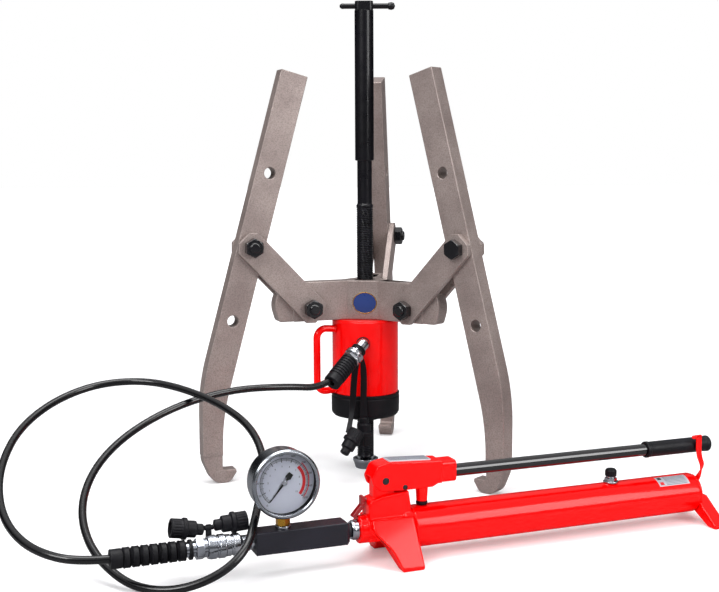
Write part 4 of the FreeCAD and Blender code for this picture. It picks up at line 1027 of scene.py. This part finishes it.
stand_in("line_coupler_body", lathe([
    (0, -262), (9, -262), (9, -238), (14.2, -238, 0.6), (14.2, -232), (13.2, -231), (13.2, -229),
    (14.2, -228), (14.2, -220, 1), (10.5, -216.3), (10.5, -206, 1), (9, -205), (9, -200.3), (0, -200.3),
], LINE @ ALONG, 120, knurled(32, 0.3, [(-237, -232.5), (-227.4, -221)]), 0.8), weighted=False)
stand_in("line_coupler_collar", lathe([
    (9.1, -261.7), (14.4, -261.7, 1), (15.5, -257, 0.8), (15.5, -251), (14.3, -250), (14.3, -248),
    (15.5, -247), (15.5, -239.5, 1), (14.4, -238.4), (9.1, -238.4),
], LINE @ ALONG, 120, knurled(34, 0.4, [(-246.4, -240.4)]), 0.8, ring=True), weighted=False)
stand_in("hose_end_fitting", joined(
    lathe([(0, -289.2), (9.5, -289.2), (9.5, -277), (12, -276), (12, -262.3), (0, -262.3)],
          LINE @ ALONG, 72),
    hexagon(25, -277, -266.4, 0, LINE @ ALONG)), weighted=False)
stand_in("hose_grip", lathe(ribbed(-289.5, -385, 13, 2.2, 7, 5.6, -14), LINE @ ALONG, 96, ring=True),
         weighted=False)

loop = lathe([(9.8, -285.6), (13, -285.6, 0.8), (13, -281.4, 0.8), (9.8, -281.4)], ALONG, 72, ring=True)
lug = plate([rounded([(-285.6, -3), (-281.4, -3), (-281.4, 5), (-285.6, 5)])], -18.4, -12, 0.6, UPRIGHT)
strip = plate([rounded([(-285.6, -3, 1), (-251, -3, 3), (-251, 25, 2), (-259, 25, 2), (-259, 5, 2),
                        (-285.6, 5, 1)])], -18.4, -16, 0.6, UPRIGHT)
bridge = lathe([
    (0, -260.4), (3.2, -260.4, 0.6), (3.2, -248.4, 0.6), (0, -248.4),
], move(0, 18, 20.4) @ ALONG, 40)
cap_strap = joined(loop, lug, strip, bridge)
cap_strap.transform(LINE)
stand_in("line_cap_strap", cap_strap)
caps = joined(cap_mesh(LINE @ pointing((0.987, 0, -0.16), (-305, 18, 25.5)), 1.15),
              cap_mesh(LINE @ pointing((-0.9988, 0, -0.05), (-204, 18, 24.5)), 1.15))
stand_in("line_caps", caps, weighted=False)


# ---------------------------------------------------------------- labels

def tank_patch(start, end, low, high, lift):
    """Thin sheet wrapped on the tank between two places along it and two angles round it."""
    count = 16
    sections = []
    for k in range(count + 1):
        a = math.radians(low + (high - low) * k / count)
        inner, outer = TANK_RADIUS - 0.05, TANK_RADIUS + lift
        sections.append([(s, r * math.cos(a), r * math.sin(a)) for s, r in
                         ((start, inner), (end, inner), (end, outer), (start, outer))])
    return loft(sections, TANK)


piece("tank_label", tank_patch(409, 461, 98, 137, 0.12), "base", LABEL, "bright_steel")
piece("tank_label_block", tank_patch(412, 418, 101, 112, 0.2), "base", INK, "pointer_black")
piece("tank_label_disc", tank_patch(412, 418, 122, 133, 0.2), "base", DIAL_RED, "red_paint")
label_lines = [tank_patch(422, 457, low, low + 1.6, 0.2) for low in range(102, 134, 5)]
piece("tank_label_lines", joined(*label_lines), "base", GREY, "pointer_black")
label_place = PUMP @ move(16, 0, 135.6) @ turn(3, "Y")
piece("lever_plate", plate([rounded([(-31, -12, 2.5), (31, -12, 2.5), (31, 12, 2.5), (-31, 12, 2.5)])],
                           -0.8, 1.2, 0.5, label_place), "pump_lever", LABEL, "bright_steel")
hatch = [plate([rounded([(x - 0.5, -10), (x + 0.5, -10), (x + 0.5, 10), (x - 0.5, 10)])], 1.0, 1.5, 0.15,
               label_place) for x in range(-28, 29, 2)]
piece("lever_plate_hatch", joined(*hatch), "pump_lever", GREY, "bright_steel", weighted=False)
stretch = Matrix.Scale(1.14, 4, (1, 0, 0))
badge_place = turn(AZIMUTHS["left"] + 60) @ move(HUB_FACE, 4.4, 294) @ ALONG @ stretch
piece("head_badge", lathe([
    (0, -0.3), (17.2, -0.3), (17.2, 0.5, 0.2), (0, 0.5),
], badge_place, 96), "base", BLUE, "black_anodised")
piece("head_badge_rim", lathe([
    (17.1, -0.3), (18.4, -0.3), (18.4, 0.8, 0.3), (17.1, 0.8, 0.3),
], badge_place, 96, ring=True), "base", BRASS, "brass")


# ---------------------------------------------------------------- remaining CAD pieces keep their shape

for node, obj in NODES.items():
    if not obj.hide_render:
        obj.data.materials.clear()
        obj.data.materials.append(FINISHES[SLOT_OF[node]])


# ---------------------------------------------------------------- floor, lights and sky

def floor_material():
    """White to the camera, brighter far out, and darker in reflections so that gloss keeps its colour."""
    n = Nodes("floor")
    shader = n.shader.inputs
    rays = n.add("LightPath").outputs
    pale = n.mix(n.spread(n.noise(3, 3), 0.3, 0.7), (0.90, 0.90, 0.91, 1), (0.87, 0.87, 0.88, 1))
    n.feed(n.mix(rays["Is Glossy Ray"], pale, (0.22, 0.22, 0.225, 1)), shader["Base Color"])
    n.feed(n.spread(n.noise(20, 4), 0.3, 0.7, 0.55, 0.7), shader["Roughness"])
    shader["Emission Color"].default_value = (1, 1, 1, 1)
    across, away = n.split(n.where)[:2]
    squares = [n.math("MULTIPLY", side, side) for side in (across, away)]
    reach = n.math("SQRT", n.math("ADD", *squares))
    glow = n.spread(reach, 0.9, 3.0, 0.2, 0.95)
    n.feed(n.math("MULTIPLY", glow, rays["Is Camera Ray"]), shader["Emission Strength"])
    return n.material


floor_mesh = bpy.data.meshes.new("floor")
made = bmesh.new()
bmesh.ops.create_grid(made, x_segments=2, y_segments=2, size=20)
made.to_mesh(floor_mesh)
made.free()
floor_mesh.materials.append(floor_material())
floor = linked("floor", floor_mesh)


def softbox(name, place, aim, wide, tall, power):
    """Soft rectangular light at place, facing the point it aims at."""
    light = bpy.data.lights.new(name, "AREA")
    light.shape = "RECTANGLE"
    light.size, light.size_y = wide, tall
    light.energy = power
    obj = linked(name, light)
    obj.location = place
    obj.rotation_euler = (Vector(aim) - Vector(place)).to_track_quat("-Z", "Y").to_euler()


softbox("key", (-1.7, -2.4, 2.2), (0, -0.2, 0.3), 1.6, 1.4, 66)
softbox("fill", (2.4, -2.0, 1.5), (0.1, -0.2, 0.3), 1.2, 1.8, 46)
softbox("top", (0.0, -0.3, 3.0), (0, -0.2, 0), 2.2, 1.8, 62)

world = bpy.data.worlds.new("studio")
bpy.context.scene.world = world
world.use_nodes = True
sky = Nodes.over(world.node_tree)
# The camera sees white all round. Light comes from a grey room with dark stretches low on both sides
# behind the object. Reflections see it darker, and brighter overhead, so gloss and metal get dark edges.
x, y, z = sky.split(sky.add("TexCoord").outputs["Generated"])
shade = sky.math("MULTIPLY", sky.spread(sky.math("ABSOLUTE", x), 0.25, 0.55), sky.spread(y, -0.15, 0.25))
shade = sky.math("MULTIPLY", shade, sky.spread(z, 0.75, 0.4))
room = sky.mix(shade, (0.5, 0.5, 0.51, 1), (0.05, 0.05, 0.052, 1))
overhead = sky.spread(z, 0.3, 0.7)
mirrored = sky.mix(overhead, (0.1, 0.1, 0.105, 1), (0.7, 0.7, 0.71, 1))
mirrored = sky.mix(shade, mirrored, (0.01, 0.01, 0.012, 1))
rays = sky.add("LightPath").outputs
room = sky.mix(rays["Is Glossy Ray"], room, mirrored)
room = sky.mix(rays["Is Camera Ray"], room, (1, 1, 1, 1))
sky.feed(room, world.node_tree.nodes["Background"].inputs["Color"])
bpy.context.scene.view_settings.view_transform = "Standard"
